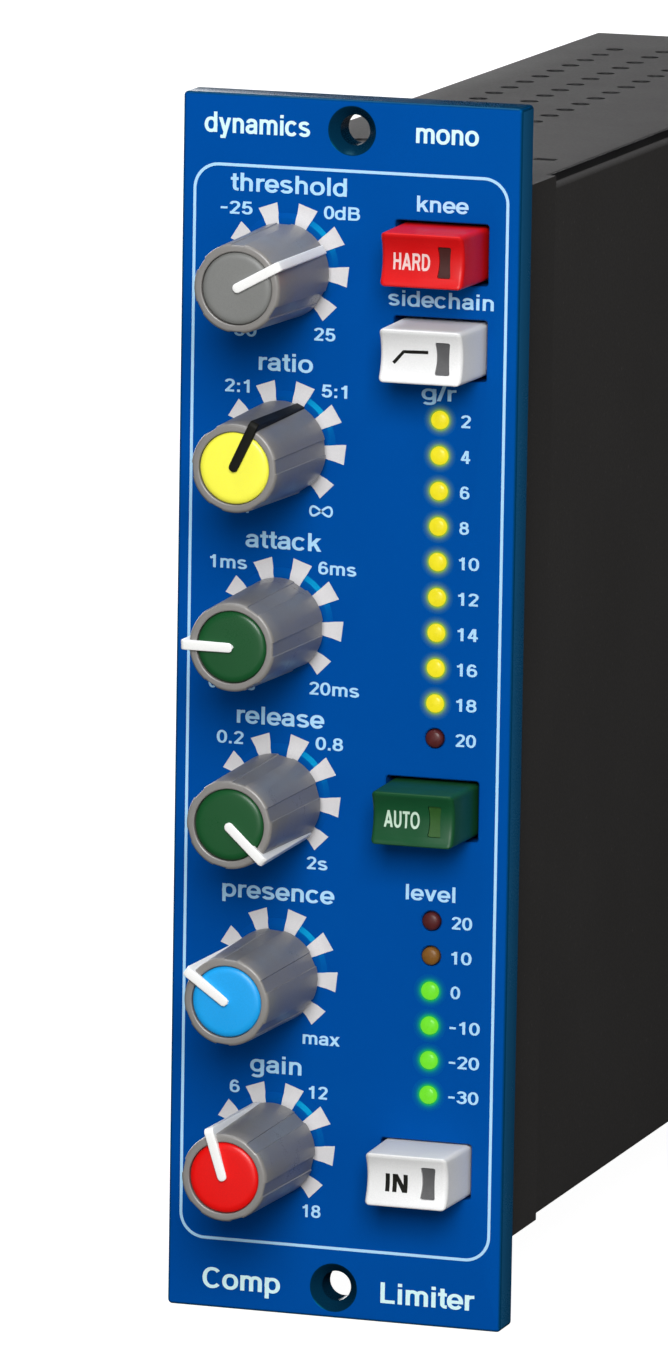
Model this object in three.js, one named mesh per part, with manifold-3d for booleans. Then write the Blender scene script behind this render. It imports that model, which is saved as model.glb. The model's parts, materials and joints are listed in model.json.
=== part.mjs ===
// Rack compressor module: a narrow front panel with knobs, buttons and indicator lamps, on a
// vented sheet-metal case that holds the boards. Millimetres, +Z up, the panel faces -Y.
// Each part below is drawn with x = 0 and z = 0 at the panel's centre and y = 0 at its rear face.
import * as THREE from "three";
import { mergeVertices } from "three/addons/utils/BufferGeometryUtils.js";
import Module from "manifold-3d";

const wasm = await Module();
wasm.setup();

// ---------------------------------------------------------------- driving dimensions
const PANEL = { width: 38.1, height: 133.35, thick: 4.0, bevel: 0.35, corner: 0.5 };
const FRONT = -PANEL.thick; // y of the panel's front face
const EAR_HOLE = { z: 63.3, through: 1.65, cone: 2.85, coneDepth: 1.5 };
const SEAT = { depth: 0.3, halfHeight: 58.0 }; // shallow rebate that the case sits in
const MOUNT_DROP = 59.6; // from the panel's centre down to the mount on the lower ear

const SHEET = 1.0;
const CASE = { halfWidth: 17.95, halfHeight: 57.6, front: -0.2, rear: 147.4 };
const FLANGE = 6.0; // width of the front flange and of the lips round the cover's opening
const BUTTON_SIDE = 4.0; // right of this x there is no flange, so the buttons can move
const STRIP = { depth: 12.3, joggle: 1.05 }; // full-width front strip, ahead of the side cover
const LIP_X = CASE.halfWidth - STRIP.joggle; // outer face of the lips that the cover lies on
const COVER = { inner: 17.05, top: 56.9, bottom: -57.1, front: 12.6, rear: 147.3 };
const VENT = { radius: 1.05, columns: 3, rows: 20, pitchX: 6.1, pitchY: 6.05, x: 1.4, y: 130.8 };
const SLIT = { x: 12.7, y: 25.5, length: 2.4, width: 0.8 };

const KNOB = { x: -7.0, topZ: 48.05, pitch: 19.24, gap: 1.5, reach: 17.3, base: 5.2, front: 4.8 };
const KNOB_WALL = { bore: 3.2, recess: 4.0, recessDepth: 1.4, web: 1.2, rim: 0.45 };
const FLUTE = { count: 6, width: 1.5, depth: 0.16 };
const CAP = { radius: 3.85, bevel: 0.22, gap: 0.15 };
const POINTER = { width: 1.05, slot: 1.35, thick: 0.4, lift: 0.1, inner: 4.45, front: 5.62, base: 5.35 };
const SHAFT = { radius: 3.0, hole: 3.5, rear: 4.8 };
const POT = { width: 9.8, height: 10.6, front: 1.3, rear: 8.3, bore: 3.2, boreDepth: 4.0 };

const BUTTON = { x: 10.25, width: 9.2, draft: 0.42, height: 5.8, reach: 7.6, rear: 0.8, scoop: 1.0 };
const CUTOUT = { width: 10.5, height: 6.65 };
const TIGHT_CUTOUT = { width: 10.3, height: 6.1 };
const WINDOW = { x: 2.45, z: -0.1, width: 1.3, height: 3.2, play: 0.1, rear: 0.6 };
const SWITCH = { side: 6.4, front: 3.2, rear: 8.3, boreEnd: 7.9 };
const PLUNGER = { side: 2.4, play: 0.15, front: -2.45, rear: 5.6 };

const LAMP = { x: 10.43, radius: 1.0, hole: 1.16, proud: 0.1, dome: 0.35 };
const LAMP_BAR = { front: 1.0, rear: 2.6, width: 2.4, overhang: 1.4 };

const CONTROL_BOARD = { front: 8.5, thick: 1.6, left: -15.6, right: 15.2, halfHeight: 54.0 };
const SPACER = { x: 1.3, radius: 1.6, pitch: 38.48, gap: 0.1 };
const MAIN_BOARD = { x: -11.0, thick: 1.6, front: 14.0, rear: 140.0, halfHeight: 50.0 };
const TONGUE = { rear: 156.0, halfHeight: 30.5, slotPlay: 1.0 };
const STANDOFF = { radius: 2.4, inset: 6.0, gap: 0.2 };
const HEADER = { gap: 0.2, reach: 6.0, halfHeight: 19.0, front: 10.4, rear: 22.0 };
const CAPACITOR = { y: 118, z: 30, radius: 6.2, length: 16 };
const COVER_SCREW = { y: 143.4, z: 45.0, shank: 1.25, hole: 1.5, head: 2.2, headHeight: 0.9, tip: 14.0 };
const PANEL_SCREW = { z: 54.4, shank: 1.25, hole: 1.5, depth: 2.4, head: 1.9, headHeight: 1.6 };

// From the top knob down: pointer angle at rest, clockwise from straight up, and the cap's colour.
const WHITE = 0xf2f2ee;
const BLACK = 0x1a1a16;
const KNOBS = [
  { name: "threshold", angle: 61, cap: 0x777777, pointer: WHITE },
  { name: "ratio", angle: 25, cap: 0xf6f24a, pointer: BLACK },
  { name: "attack", angle: -90, cap: 0x1f5a30, pointer: WHITE },
  { name: "release", angle: 133, cap: 0x1f5a30, pointer: WHITE },
  { name: "presence", angle: -55, cap: 0x1f9be0, pointer: WHITE },
  { name: "gain", angle: -18, cap: 0xe01616, pointer: WHITE },
];
const BUTTONS = [
  { name: "knee", z: 50.72, color: 0xe01818, window: 0x4a3030, cutout: CUTOUT },
  { name: "sidechain", z: 40.4, color: WHITE, window: 0x6a6a6a, cutout: CUTOUT },
  { name: "auto", z: -9.6, color: 0x1c5230, window: 0x2c5a2c, cutout: CUTOUT },
  { name: "in", z: -49.2, color: WHITE, window: 0x6a6a6a, cutout: TIGHT_CUTOUT },
];
const LAMP_COLUMNS = [
  { name: "lamps_gain_reduction", top: 32.73, pitch: 3.848, count: 10, color: 0xf0ea30 },
  { name: "lamps_level", top: -21.9, pitch: 3.824, count: 6, color: 0x50f040 },
];

// ---------------------------------------------------------------- solids
const SIDES = [-1, 1];
const range = (count) => Array.from({ length: count }, (_, i) => i);
const joinAll = (body, pieces) => pieces.reduce((whole, piece) => whole.add(piece), body);
const cutAll = (body, tools) => tools.reduce((rest, tool) => rest.subtract(tool), body);

function solid(geometry) {
  const bare = geometry.clone();
  bare.deleteAttribute("normal");
  bare.deleteAttribute("uv");
  const merged = mergeVertices(bare, 1e-4);
  return new wasm.Manifold(
    new wasm.Mesh({
      numProp: 3,
      vertProperties: merged.attributes.position.array,
      triVerts: new Uint32Array(merged.index.array),
    }),
  );
}

function geometryOf(manifold) {
  const mesh = manifold.getMesh();
  const points = new Float32Array(mesh.numVert * 3);
  for (let i = 0; i < mesh.numVert; i += 1) {
    const start = i * mesh.numProp;
    points.set(mesh.vertProperties.subarray(start, start + 3), i * 3);
  }
  const geometry = new THREE.BufferGeometry();
  geometry.setAttribute("position", new THREE.BufferAttribute(points, 3));
  geometry.setIndex(new THREE.BufferAttribute(new Uint32Array(mesh.triVerts), 1));
  geometry.computeVertexNormals();
  return geometry;
}

// A block from its lowest to its highest corner.
function block(low, high) {
  const size = high.map((h, i) => h - low[i]);
  const middle = high.map((h, i) => (h + low[i]) / 2);
  return solid(new THREE.BoxGeometry(...size).translate(...middle));
}

// A block centred on x and z, between two depths.
function blockY(x, z, width, height, from, to) {
  const [w, h] = [width / 2, height / 2];
  return block([x - w, from, z - h], [x + w, to, z + h]);
}

// A round bar or cone along Y, between two depths.
function barY(x, z, from, to, radiusFrom, radiusTo = radiusFrom, segments = 20) {
  const bar = new THREE.CylinderGeometry(radiusTo, radiusFrom, to - from, segments);
  return solid(bar.translate(x, (from + to) / 2, z));
}

// A round bar along X.
function barX(y, z, from, to, radius, segments = 16) {
  const bar = new THREE.CylinderGeometry(radius, radius, to - from, segments);
  return solid(bar.rotateZ(-Math.PI / 2).translate((from + to) / 2, y, z));
}

// A shape drawn in x and z, extruded from the depth `rear` towards the front.
function extrudeForward(shape, rear, options) {
  const extruded = new THREE.ExtrudeGeometry(shape, options);
  return solid(extruded.rotateX(Math.PI / 2).translate(0, rear, 0));
}

// A shape drawn in y and z, extruded along X and centred on x = 0.
function extrudeAcross(shape, width) {
  const extruded = new THREE.ExtrudeGeometry(shape, { depth: width, bevelEnabled: false, curveSegments: 8 });
  const [x, y, z] = [new THREE.Vector3(1, 0, 0), new THREE.Vector3(0, 1, 0), new THREE.Vector3(0, 0, 1)];
  const turn = new THREE.Matrix4().makeBasis(y, z, x);
  return solid(extruded.applyMatrix4(turn).translate(-width / 2, 0, 0));
}

// ---------------------------------------------------------------- scene graph
const group = new THREE.Group();
const assembly = new THREE.Group();
assembly.position.z = MOUNT_DROP;
group.add(assembly);

function place(parent, name, body, color, roughness, metalness = 0) {
  const material = new THREE.MeshStandardMaterial({ color, roughness, metalness });
  const mesh = new THREE.Mesh(geometryOf(body), material);
  mesh.name = name;
  parent.add(mesh);
}

const knobZ = (index) => KNOB.topZ - index * KNOB.pitch;
const lampHeights = ({ top, pitch, count }) => range(count).map((i) => top - i * pitch);

// ---------------------------------------------------------------- front panel
function roundedRectangle(width, height, radius) {
  const [w, h] = [width / 2 - radius, height / 2 - radius];
  const shape = new THREE.Shape();
  shape.absarc(w, -h, radius, -Math.PI / 2, 0);
  shape.absarc(w, h, radius, 0, Math.PI / 2);
  shape.absarc(-w, h, radius, Math.PI / 2, Math.PI);
  shape.absarc(-w, -h, radius, Math.PI, Math.PI * 1.5);
  shape.closePath();
  return shape;
}

// Both edges of the plate are bevelled first; the rear bevel goes with the slice behind y = 0.
function panelPlate() {
  const { width, height, thick, bevel, corner } = PANEL;
  const plate = extrudeForward(roundedRectangle(width, height, corner), 0, {
    depth: thick - bevel,
    bevelSize: bevel,
    bevelOffset: -bevel,
    bevelThickness: bevel,
    bevelSegments: 1,
    curveSegments: 3,
  });
  const rear = block([-width, 0, -height], [width, thick, height]);
  const seat = block([-width, -SEAT.depth, -SEAT.halfHeight], [width, thick, SEAT.halfHeight]);
  return cutAll(plate, [rear, seat]);
}

function earHole(z) {
  const { through, cone, coneDepth } = EAR_HOLE;
  return [barY(0, z, FRONT - 1, 1, through), barY(0, z, FRONT - 0.001, FRONT + coneDepth, cone, through)];
}

function panelHoles() {
  const [from, to] = [FRONT - 1, 1];
  const shafts = KNOBS.map((_, i) => barY(KNOB.x, knobZ(i), from, to, SHAFT.hole));
  const lamps = LAMP_COLUMNS.flatMap(lampHeights).map((z) =>
    barY(LAMP.x, z, from, to, LAMP.hole, LAMP.hole, 12),
  );
  const cutouts = BUTTONS.map(({ z, cutout }) => blockY(BUTTON.x, z, cutout.width, cutout.height, from, to));
  const { z: screwZ, hole, depth } = PANEL_SCREW;
  const blind = SIDES.map((side) => barY(0, side * screwZ, -SEAT.depth - depth, to, hole, hole, 12));
  const ears = SIDES.flatMap((side) => earHole(side * EAR_HOLE.z));
  return [...shafts, ...lamps, ...cutouts, ...blind, ...ears];
}

const frontPanel = () => cutAll(panelPlate(), panelHoles());

// ---------------------------------------------------------------- case
function ventHoles() {
  const [from, to] = [CASE.halfHeight - 2 * SHEET, CASE.halfHeight + 1];
  return range(VENT.columns * VENT.rows).map((i) => {
    const x = VENT.x - (i % VENT.columns) * VENT.pitchX;
    const y = VENT.y - Math.floor(i / VENT.columns) * VENT.pitchY;
    const drill = new THREE.CylinderGeometry(VENT.radius, VENT.radius, to - from, 10);
    return solid(drill.rotateX(Math.PI / 2).translate(x, y, (from + to) / 2));
  });
}

// The folded sheet: left, top, bottom and rear walls, lips on the right for the cover, a flange
// behind the knobs' side of the panel, and a front strip that steps out to the full width.
function chassisShell() {
  const { halfWidth: w, halfHeight: h, front, rear } = CASE;
  const box = block([-w, front, -h], [LIP_X, rear, h]);
  const strip = block([0, front, -h], [w, STRIP.depth, h]);
  const hollow = block([-w + SHEET, front + SHEET, -h + SHEET], [LIP_X - SHEET, rear - SHEET, h - SHEET]);
  const stripHollow = block([0, front + SHEET, -h + SHEET], [w - SHEET, STRIP.depth - SHEET, h - SHEET]);
  const flangeOpening = block([-w + FLANGE, front - 1, -h + FLANGE], [w - SHEET, SHEET + 1, h - FLANGE]);
  const buttonOpening = block([BUTTON_SIDE, front - 1, -h + SHEET], [w - SHEET, SHEET + 1, h - SHEET]);
  const coverOpening = block(
    [LIP_X - 2 * SHEET, STRIP.depth + FLANGE, -h + FLANGE],
    [w, rear - FLANGE, h - FLANGE],
  );
  return cutAll(box.add(strip), [hollow, stripHollow, flangeOpening, buttonOpening, coverOpening]);
}

const screwHoleInCover = (side) =>
  barX(COVER_SCREW.y, side * COVER_SCREW.z, COVER_SCREW.tip, CASE.halfWidth + 1, COVER_SCREW.hole);

function chassis() {
  const { halfHeight: h, rear, front } = CASE;
  const top = [h - 2 * SHEET, h + 1];
  const slit = block(
    [SLIT.x - SLIT.length / 2, SLIT.y - SLIT.width / 2, top[0]],
    [SLIT.x + SLIT.length / 2, SLIT.y + SLIT.width / 2, top[1]],
  );
  const slotWidth = MAIN_BOARD.thick + 2 * TONGUE.slotPlay;
  const slotHeight = 2 * (TONGUE.halfHeight + TONGUE.slotPlay);
  const tongueSlot = blockY(MAIN_BOARD.x, 0, slotWidth, slotHeight, rear - 2 * SHEET, rear + 1);
  const panelScrews = SIDES.map((side) =>
    barY(0, side * PANEL_SCREW.z, front - 1, front + SHEET + 1, PANEL_SCREW.hole, PANEL_SCREW.hole, 12),
  );
  const holes = [...ventHoles(), slit, tongueSlot, ...panelScrews, ...SIDES.map(screwHoleInCover)];
  return cutAll(chassisShell(), holes);
}

function sideCover() {
  const { inner, top, bottom, front, rear } = COVER;
  const plate = block([inner, front, bottom], [CASE.halfWidth, rear, top]);
  return cutAll(plate, SIDES.map(screwHoleInCover));
}

function coverScrew(side) {
  const { y, z, shank, head, headHeight, tip } = COVER_SCREW;
  const seat = CASE.halfWidth + 0.05;
  const thread = barX(y, side * z, tip, seat + headHeight / 2, shank);
  return thread.add(barX(y, side * z, seat, seat + headHeight, head));
}

function panelScrew(side) {
  const { z, shank, depth, head, headHeight } = PANEL_SCREW;
  const seat = CASE.front + SHEET + 0.05;
  const shaft = barY(0, side * z, -SEAT.depth - depth + 0.2, seat + headHeight / 2, shank);
  return shaft.add(barY(0, side * z, seat, seat + headHeight, head));
}

// ---------------------------------------------------------------- boards
// The board behind the panel, with the three spacers that hold it off the panel's rear face.
function controlBoard() {
  const { front, thick, left, right, halfHeight } = CONTROL_BOARD;
  const board = block([left, front, -halfHeight], [right, front + thick, halfHeight]);
  const spacerFront = SPACER.gap - SEAT.depth;
  const spacers = [-1, 0, 1].map((i) =>
    barY(SPACER.x, i * SPACER.pitch, spacerFront, front + thick / 2, SPACER.radius),
  );
  return joinAll(board, spacers);
}

// The two columns that hold the main board's rear end off the case's left wall.
function boardStandoffs() {
  const { rear, halfHeight, x } = MAIN_BOARD;
  const wall = -CASE.halfWidth + SHEET + STANDOFF.gap;
  const [y, z] = [rear - STANDOFF.inset, halfHeight - STANDOFF.inset];
  return SIDES.map((side) => barX(y, side * z, wall, x, STANDOFF.radius));
}

function mainBoard() {
  const { x, thick, front, rear, halfHeight } = MAIN_BOARD;
  const [low, high] = [x - thick / 2, x + thick / 2];
  const board = block([low, front, -halfHeight], [high, rear, halfHeight]);
  const tongue = block([low, rear - 1, -TONGUE.halfHeight], [high, TONGUE.rear, TONGUE.halfHeight]);
  return joinAll(board, [tongue, ...boardStandoffs()]);
}

const componentSide = MAIN_BOARD.x + MAIN_BOARD.thick / 2 + HEADER.gap;

function boardHeader() {
  const { reach, halfHeight, front, rear } = HEADER;
  return block([componentSide, front, -halfHeight], [componentSide + reach, rear, halfHeight]);
}

const capacitor = (side) =>
  barX(CAPACITOR.y, side * CAPACITOR.z, componentSide, componentSide + CAPACITOR.length, CAPACITOR.radius);

// ---------------------------------------------------------------- knobs
// Drawn about x = 0, z = 0 with the pointer straight up; each knob's group turns and places it.
const KNOB_REAR = FRONT - KNOB.gap;
const KNOB_FACE = FRONT - KNOB.reach;
const taperRadius = (y) =>
  KNOB.base + ((KNOB.front - KNOB.base) * (KNOB_REAR - y)) / (KNOB_REAR - KNOB_FACE);

const lathe = (profile, segments) =>
  solid(new THREE.LatheGeometry(profile.map(([r, y]) => new THREE.Vector2(r, y)), segments));

function knobBody() {
  const { bore, recess, recessDepth, web, rim } = KNOB_WALL;
  const floor = KNOB_FACE + recessDepth;
  const body = lathe(
    [
      [0, floor],
      [recess, floor],
      [recess, KNOB_FACE],
      [KNOB.front - rim, KNOB_FACE],
      [KNOB.front - rim / 4, KNOB_FACE + rim / 3],
      [KNOB.front, KNOB_FACE + rim],
      [KNOB.base, KNOB_REAR],
      [bore, KNOB_REAR],
      [bore, floor + web],
      [0, floor + web],
    ],
    30,
  );
  return cutAll(body, [...knobFlutes(), pointerSlot()]);
}

// Shallow flat-bottomed flutes that follow the taper; the pointer takes the place of the first.
function knobFlutes() {
  const length = KNOB_REAR - KNOB_FACE;
  const lean = Math.atan((KNOB.base - KNOB.front) / length);
  const middle = (KNOB_REAR + KNOB_FACE) / 2;
  return range(FLUTE.count - 1).map((i) => {
    const cutter = new THREE.BoxGeometry(FLUTE.width, length + 2, 1);
    cutter.translate(0, 0, taperRadius(middle) - FLUTE.depth + 0.5).rotateX(lean);
    cutter.translate(0, middle, 0).rotateY(((i + 1) * 2 * Math.PI) / FLUTE.count);
    return solid(cutter);
  });
}

function pointerSlot() {
  const inner = POINTER.inner - 0.2;
  return block([-POINTER.slot / 2, KNOB_FACE - 1, inner], [POINTER.slot / 2, KNOB_REAR + 1, KNOB.base + 1]);
}

function knobCap() {
  const rear = KNOB_FACE + KNOB_WALL.recessDepth - CAP.gap;
  return lathe(
    [
      [0, KNOB_FACE],
      [CAP.radius - CAP.bevel, KNOB_FACE],
      [CAP.radius, KNOB_FACE + CAP.bevel],
      [CAP.radius, rear],
      [0, rear],
    ],
    24,
  );
}

// A thin strip: from the cap's centre out over the rim, then back along the side to the base.
function knobPointer() {
  const { inner, lift, thick, width, front, base } = POINTER;
  const [under, over] = [KNOB_FACE - lift, KNOB_FACE - lift - thick];
  const end = KNOB_REAR - 0.2;
  const shape = new THREE.Shape();
  shape.moveTo(under, -width / 2);
  shape.lineTo(over, -width / 2);
  shape.lineTo(over, front - thick);
  shape.lineTo(under, front);
  shape.lineTo(end, base);
  shape.lineTo(end, inner);
  shape.lineTo(under, inner);
  shape.closePath();
  return extrudeAcross(shape, width);
}

const shaft = () =>
  barY(0, 0, KNOB_FACE + KNOB_WALL.recessDepth + KNOB_WALL.web + 0.2, SHAFT.rear, SHAFT.radius);

function potentiometer(z) {
  const { width, height, front, rear, bore, boreDepth } = POT;
  const body = blockY(KNOB.x, z, width, height, front, rear);
  return body.subtract(barY(KNOB.x, z, front - 1, front + boreDepth, bore));
}

function addKnob({ name, angle, cap, pointer }, index) {
  const knob = new THREE.Group();
  knob.position.set(KNOB.x, 0, knobZ(index));
  knob.rotation.y = THREE.MathUtils.degToRad(angle);
  assembly.add(knob);
  place(knob, `knob_${name}`, knobBody(), 0x6a6a70, 0.5);
  place(knob, `knob_cap_${name}`, knobCap(), cap, 0.4);
  place(knob, `knob_pointer_${name}`, knobPointer(), pointer, 0.4);
  place(knob, `knob_shaft_${name}`, shaft(), 0xb8b8bc, 0.35, 1);
  place(assembly, `potentiometer_${name}`, potentiometer(knobZ(index)), 0x2f5d46, 0.6);
}

// ---------------------------------------------------------------- push buttons
const BUTTON_FACE = FRONT - BUTTON.reach;

// Side view: square at the back, scooped hollow at the front.
function buttonProfile() {
  const [h, { scoop, rear }] = [BUTTON.height / 2, BUTTON];
  const radius = (h * h + scoop * scoop) / (2 * scoop);
  const spread = Math.asin(h / radius);
  const shape = new THREE.Shape();
  shape.moveTo(rear, -h);
  shape.lineTo(rear, h);
  shape.lineTo(BUTTON_FACE, h);
  shape.absarc(BUTTON_FACE + scoop - radius, 0, radius, spread, -spread, true);
  shape.closePath();
  return shape;
}

// Top view: a little wider at the back, as a moulded button is.
function buttonPlan() {
  const [w, { draft, rear, height }] = [BUTTON.width / 2, BUTTON];
  const shape = new THREE.Shape();
  shape.moveTo(-w, BUTTON_FACE);
  shape.lineTo(w, BUTTON_FACE);
  shape.lineTo(w + draft, rear);
  shape.lineTo(-w - draft, rear);
  shape.closePath();
  const plan = new THREE.ExtrudeGeometry(shape, { depth: height, bevelEnabled: false });
  return solid(plan.translate(0, 0, -height / 2));
}

const scoopedBar = () => extrudeAcross(buttonProfile(), 2 * BUTTON.width);

function pushButton() {
  const socket = PLUNGER.side + 2 * PLUNGER.play;
  const plungerSocket = blockY(0, 0, socket, socket, PLUNGER.front - PLUNGER.play, BUTTON.rear + 1);
  const { x, z, width, height, play } = WINDOW;
  const windowSlot = blockY(x, z, width + 2 * play, height + 2 * play, BUTTON_FACE - 1, BUTTON.rear + 1);
  return cutAll(buttonPlan().intersect(scoopedBar()), [plungerSocket, windowSlot]);
}

function buttonWindow() {
  const { x, z, width, height, rear } = WINDOW;
  return blockY(x, z, width, height, BUTTON_FACE - 1, rear).intersect(scoopedBar());
}

function pushSwitch() {
  const bore = PLUNGER.side + 2 * PLUNGER.play;
  const body = blockY(0, 0, SWITCH.side, SWITCH.side, SWITCH.front, SWITCH.rear);
  return body.subtract(blockY(0, 0, bore, bore, SWITCH.front - 1, SWITCH.boreEnd));
}

const plunger = () => blockY(0, 0, PLUNGER.side, PLUNGER.side, PLUNGER.front, PLUNGER.rear);

function addButton({ name, z, color, window }) {
  const button = new THREE.Group();
  button.position.set(BUTTON.x, 0, z);
  assembly.add(button);
  place(button, `button_${name}`, pushButton(), color, 0.35);
  place(button, `button_window_${name}`, buttonWindow(), window, 0.2);
  place(button, `switch_plunger_${name}`, plunger(), WHITE, 0.5);
  place(button, `switch_${name}`, pushSwitch(), BLACK, 0.6);
}

// ---------------------------------------------------------------- indicator lamps
// One moulded light-pipe strip for each column: a bar behind the panel with a lens in every hole.
function lampStrip(column) {
  const heights = lampHeights(column);
  const { front, rear, width, overhang } = LAMP_BAR;
  const [high, low] = [heights[0] + overhang, heights[column.count - 1] - overhang];
  const bar = block([LAMP.x - width / 2, front, low], [LAMP.x + width / 2, rear, high]);
  return joinAll(bar, heights.flatMap(lens));
}

function lens(z) {
  const shoulder = FRONT - LAMP.proud;
  return [
    barY(LAMP.x, z, shoulder, LAMP_BAR.front + 0.5, LAMP.radius, LAMP.radius, 12),
    barY(LAMP.x, z, shoulder - LAMP.dome, shoulder, LAMP.radius * 0.55, LAMP.radius, 12),
  ];
}

// ---------------------------------------------------------------- the whole module
const CASE_BLACK = 0x3a3a3a;
place(assembly, "front_panel", frontPanel(), 0x0a4c9c, 0.4, 0.2);
place(assembly, "chassis", chassis(), CASE_BLACK, 0.6, 0.3);
place(assembly, "side_cover", sideCover(), CASE_BLACK, 0.6, 0.3);
place(assembly, "control_board", controlBoard(), 0x1d5c38, 0.6);
place(assembly, "main_board", mainBoard(), 0x1d5c38, 0.6);
place(assembly, "board_header", boardHeader(), BLACK, 0.6);
place(assembly, "capacitor_upper", capacitor(1), BLACK, 0.4);
place(assembly, "capacitor_lower", capacitor(-1), BLACK, 0.4);
place(assembly, "cover_screw_upper", coverScrew(1), BLACK, 0.4, 1);
place(assembly, "cover_screw_lower", coverScrew(-1), BLACK, 0.4, 1);
place(assembly, "panel_screw_upper", panelScrew(1), 0xb8b8bc, 0.4, 1);
place(assembly, "panel_screw_lower", panelScrew(-1), 0xb8b8bc, 0.4, 1);
KNOBS.forEach(addKnob);
BUTTONS.forEach(addButton);
LAMP_COLUMNS.forEach((column) => place(assembly, column.name, lampStrip(column), column.color, 0.3));

export default group;
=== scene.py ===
import json
import math

import bmesh
import bpy
from mathutils import Matrix, Vector
from mathutils.geometry import delaunay_2d_cdt


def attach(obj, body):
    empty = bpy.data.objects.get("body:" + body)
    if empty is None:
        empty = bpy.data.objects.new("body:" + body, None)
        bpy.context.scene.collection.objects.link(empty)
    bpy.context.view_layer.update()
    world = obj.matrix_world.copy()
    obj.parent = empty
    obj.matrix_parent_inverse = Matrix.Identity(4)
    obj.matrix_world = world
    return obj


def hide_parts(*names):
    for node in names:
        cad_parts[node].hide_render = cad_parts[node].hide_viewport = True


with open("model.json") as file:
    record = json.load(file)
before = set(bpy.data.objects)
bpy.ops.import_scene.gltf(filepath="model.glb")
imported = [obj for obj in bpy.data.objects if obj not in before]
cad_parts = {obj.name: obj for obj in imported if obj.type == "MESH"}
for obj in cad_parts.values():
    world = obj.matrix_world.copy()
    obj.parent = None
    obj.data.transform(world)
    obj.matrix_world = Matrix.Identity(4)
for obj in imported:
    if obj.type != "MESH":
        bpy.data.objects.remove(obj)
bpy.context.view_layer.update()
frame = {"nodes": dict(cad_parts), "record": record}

# Every shape is drawn in panel millimetres: x = 0 and z = 0 at the panel's centre, y = 0 at its
# rear face, the panel facing -Y. point() turns that into metres in the row's frame.
MM = 0.001
MOUNT_DROP = 59.6
HOUSING = "housing"


def point(x, y, z):
    return Vector((x * MM, y * MM, (z + MOUNT_DROP) * MM))


# ---- dimensions, in millimetres
PANEL_W, PANEL_H, PANEL_T = 38.1, 133.35, 4.0
FRONT = -PANEL_T
EAR_HOLE_Z = 63.3
SINK_R = 2.72
# The ear holes' cutter, as (radius, depth behind the panel's face).
COUNTERSINK = (
    (SINK_R + 0.9, -0.9), (SINK_R, 0.0), (2.58, 0.08), (1.72, 1.0), (1.65, 1.12), (1.65, 5.0),
)
PANEL_CORNER, PANEL_EDGE, PANEL_REAR_EDGE = 0.5, 0.35, 0.12
SHAFT_HOLE_R, LAMP_HOLE_R = 3.5, 1.1
SHAFT_CHAMFER, LAMP_CHAMFER, OPENING_CHAMFER, OPENING_CORNER = 0.2, 0.14, 0.12, 0.35
PRINT = 0.025
FRAME_W, FRAME_H, FRAME_CORNER, FRAME_PEN, FRAME_X, FRAME_Z = 35.5, 118.2, 2.87, 0.32, -0.02, 0.03

KNOB_X, KNOB_TOP_Z, KNOB_PITCH = -7.0, 48.05, 19.24
KNOB_REAR, KNOB_FACE = FRONT - 1.5, FRONT - 17.3
SKIRT_END = KNOB_REAR - 0.15
KNOB_BASE_R, KNOB_FRONT_R, KNOB_RIM = 5.2, 4.8, 0.38
KNOB_BACK_RADII = (3.9, 5.05)
CAP_R, CAP_ROUND, CAP_RIM, RECESS_R = 3.86, 0.72, 0.42, 3.92
FLUTE_HALF_ANGLE, FLUTE_DEPTH = 8.7, 0.17
POINTER_HALF_W, POINTER_T, POINTER_TIP, POINTER_BEND = 0.525, 0.5, -0.3, 0.55
POINTER_FRONT_R, POINTER_BASE_R = 5.62, 5.35

TICK_X, TICK_TOP_Z = -7.05, 48.3
TICK_RADII = (4.3, 5.25, 5.8, 6.9)
TICK_WIDTHS = (1.24, 1.58, 1.8, 2.22)
TICK_SPAN, TICK_COUNT = 270.0, 8
BOSS_H = 0.26
BOSS_R = (5.8, 5.25, 3.8)

BUTTON_X, BUTTON_W, BUTTON_H = 10.25, 9.2, 5.8
BUTTON_OPENING, IN_OPENING = (10.5, 6.65), (10.3, 6.1)
BUTTON_DRAFT, BUTTON_REAR, BUTTON_FACE = 0.42, 0.8, FRONT - 7.6
SCOOP = 1.0
BUTTON_PRINT = (-0.01, PRINT)
WINDOW_X, WINDOW_Z = 2.45, -0.1
SMALL_WINDOW, LARGE_WINDOW = (0.78, 1.68), (0.86, 1.76)

LAMP_X, LAMP_R = 10.43, 0.99
# How strongly a lit lamp's glow is painted on the panel, as colour and emission, at each distance
# from the lamp's axis.
HALO = ((1.0, 1.0), (1.1, 0.78), (1.2, 0.5), (1.32, 0.27), (1.48, 0.12), (1.66, 0.04), (1.87, 0.0))

CASE_W, CASE_H, CASE_REAR = 17.95, 57.6, 147.4
SHEET, LIP_X, STRIP_DEPTH, FLANGE, BUTTON_SIDE = 1.0, 16.9, 12.3, 6.0, 4.0
COVER_X, COVER_TOP, COVER_BOTTOM, COVER_FRONT, COVER_REAR = 17.05, 56.65, -57.1, 12.3, 147.3
STANDOFF_Y, STANDOFF_Z, STANDOFF_SCREW = 134.0, 44.0, (2.6, 0.55)
STANDOFF_PROFILE = ((-16.8, 2.3), (-16.7, 2.4), (-11.95, 2.4), (-11.85, 2.3))
COVER_SCREW_Y, COVER_SCREW_Z, COVER_SCREW = 143.4, 45.0, (2.2, 0.93)
LEVELS = (("upper", 1), ("lower", -1))
CORNERS = ((1, -1), (1, 1), (-1, 1), (-1, -1))
BOARD_X, BOARD_T, BOARD_HALF_H, BOARD_FRONT, BOARD_REAR = -11.0, 1.6, 50.0, 14.0, 140.0
TONGUE_HALF_H, TONGUE_REAR, SLOT_HALF_W, SLOT_HALF_H = 30.5, 156.0, 1.8, 31.5
FINGERS, FINGER_PITCH, FINGER_HALF_W, FINGER_FRONT, FINGER_REAR = 15, 3.96, 1.2, 146.0, 155.4
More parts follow.
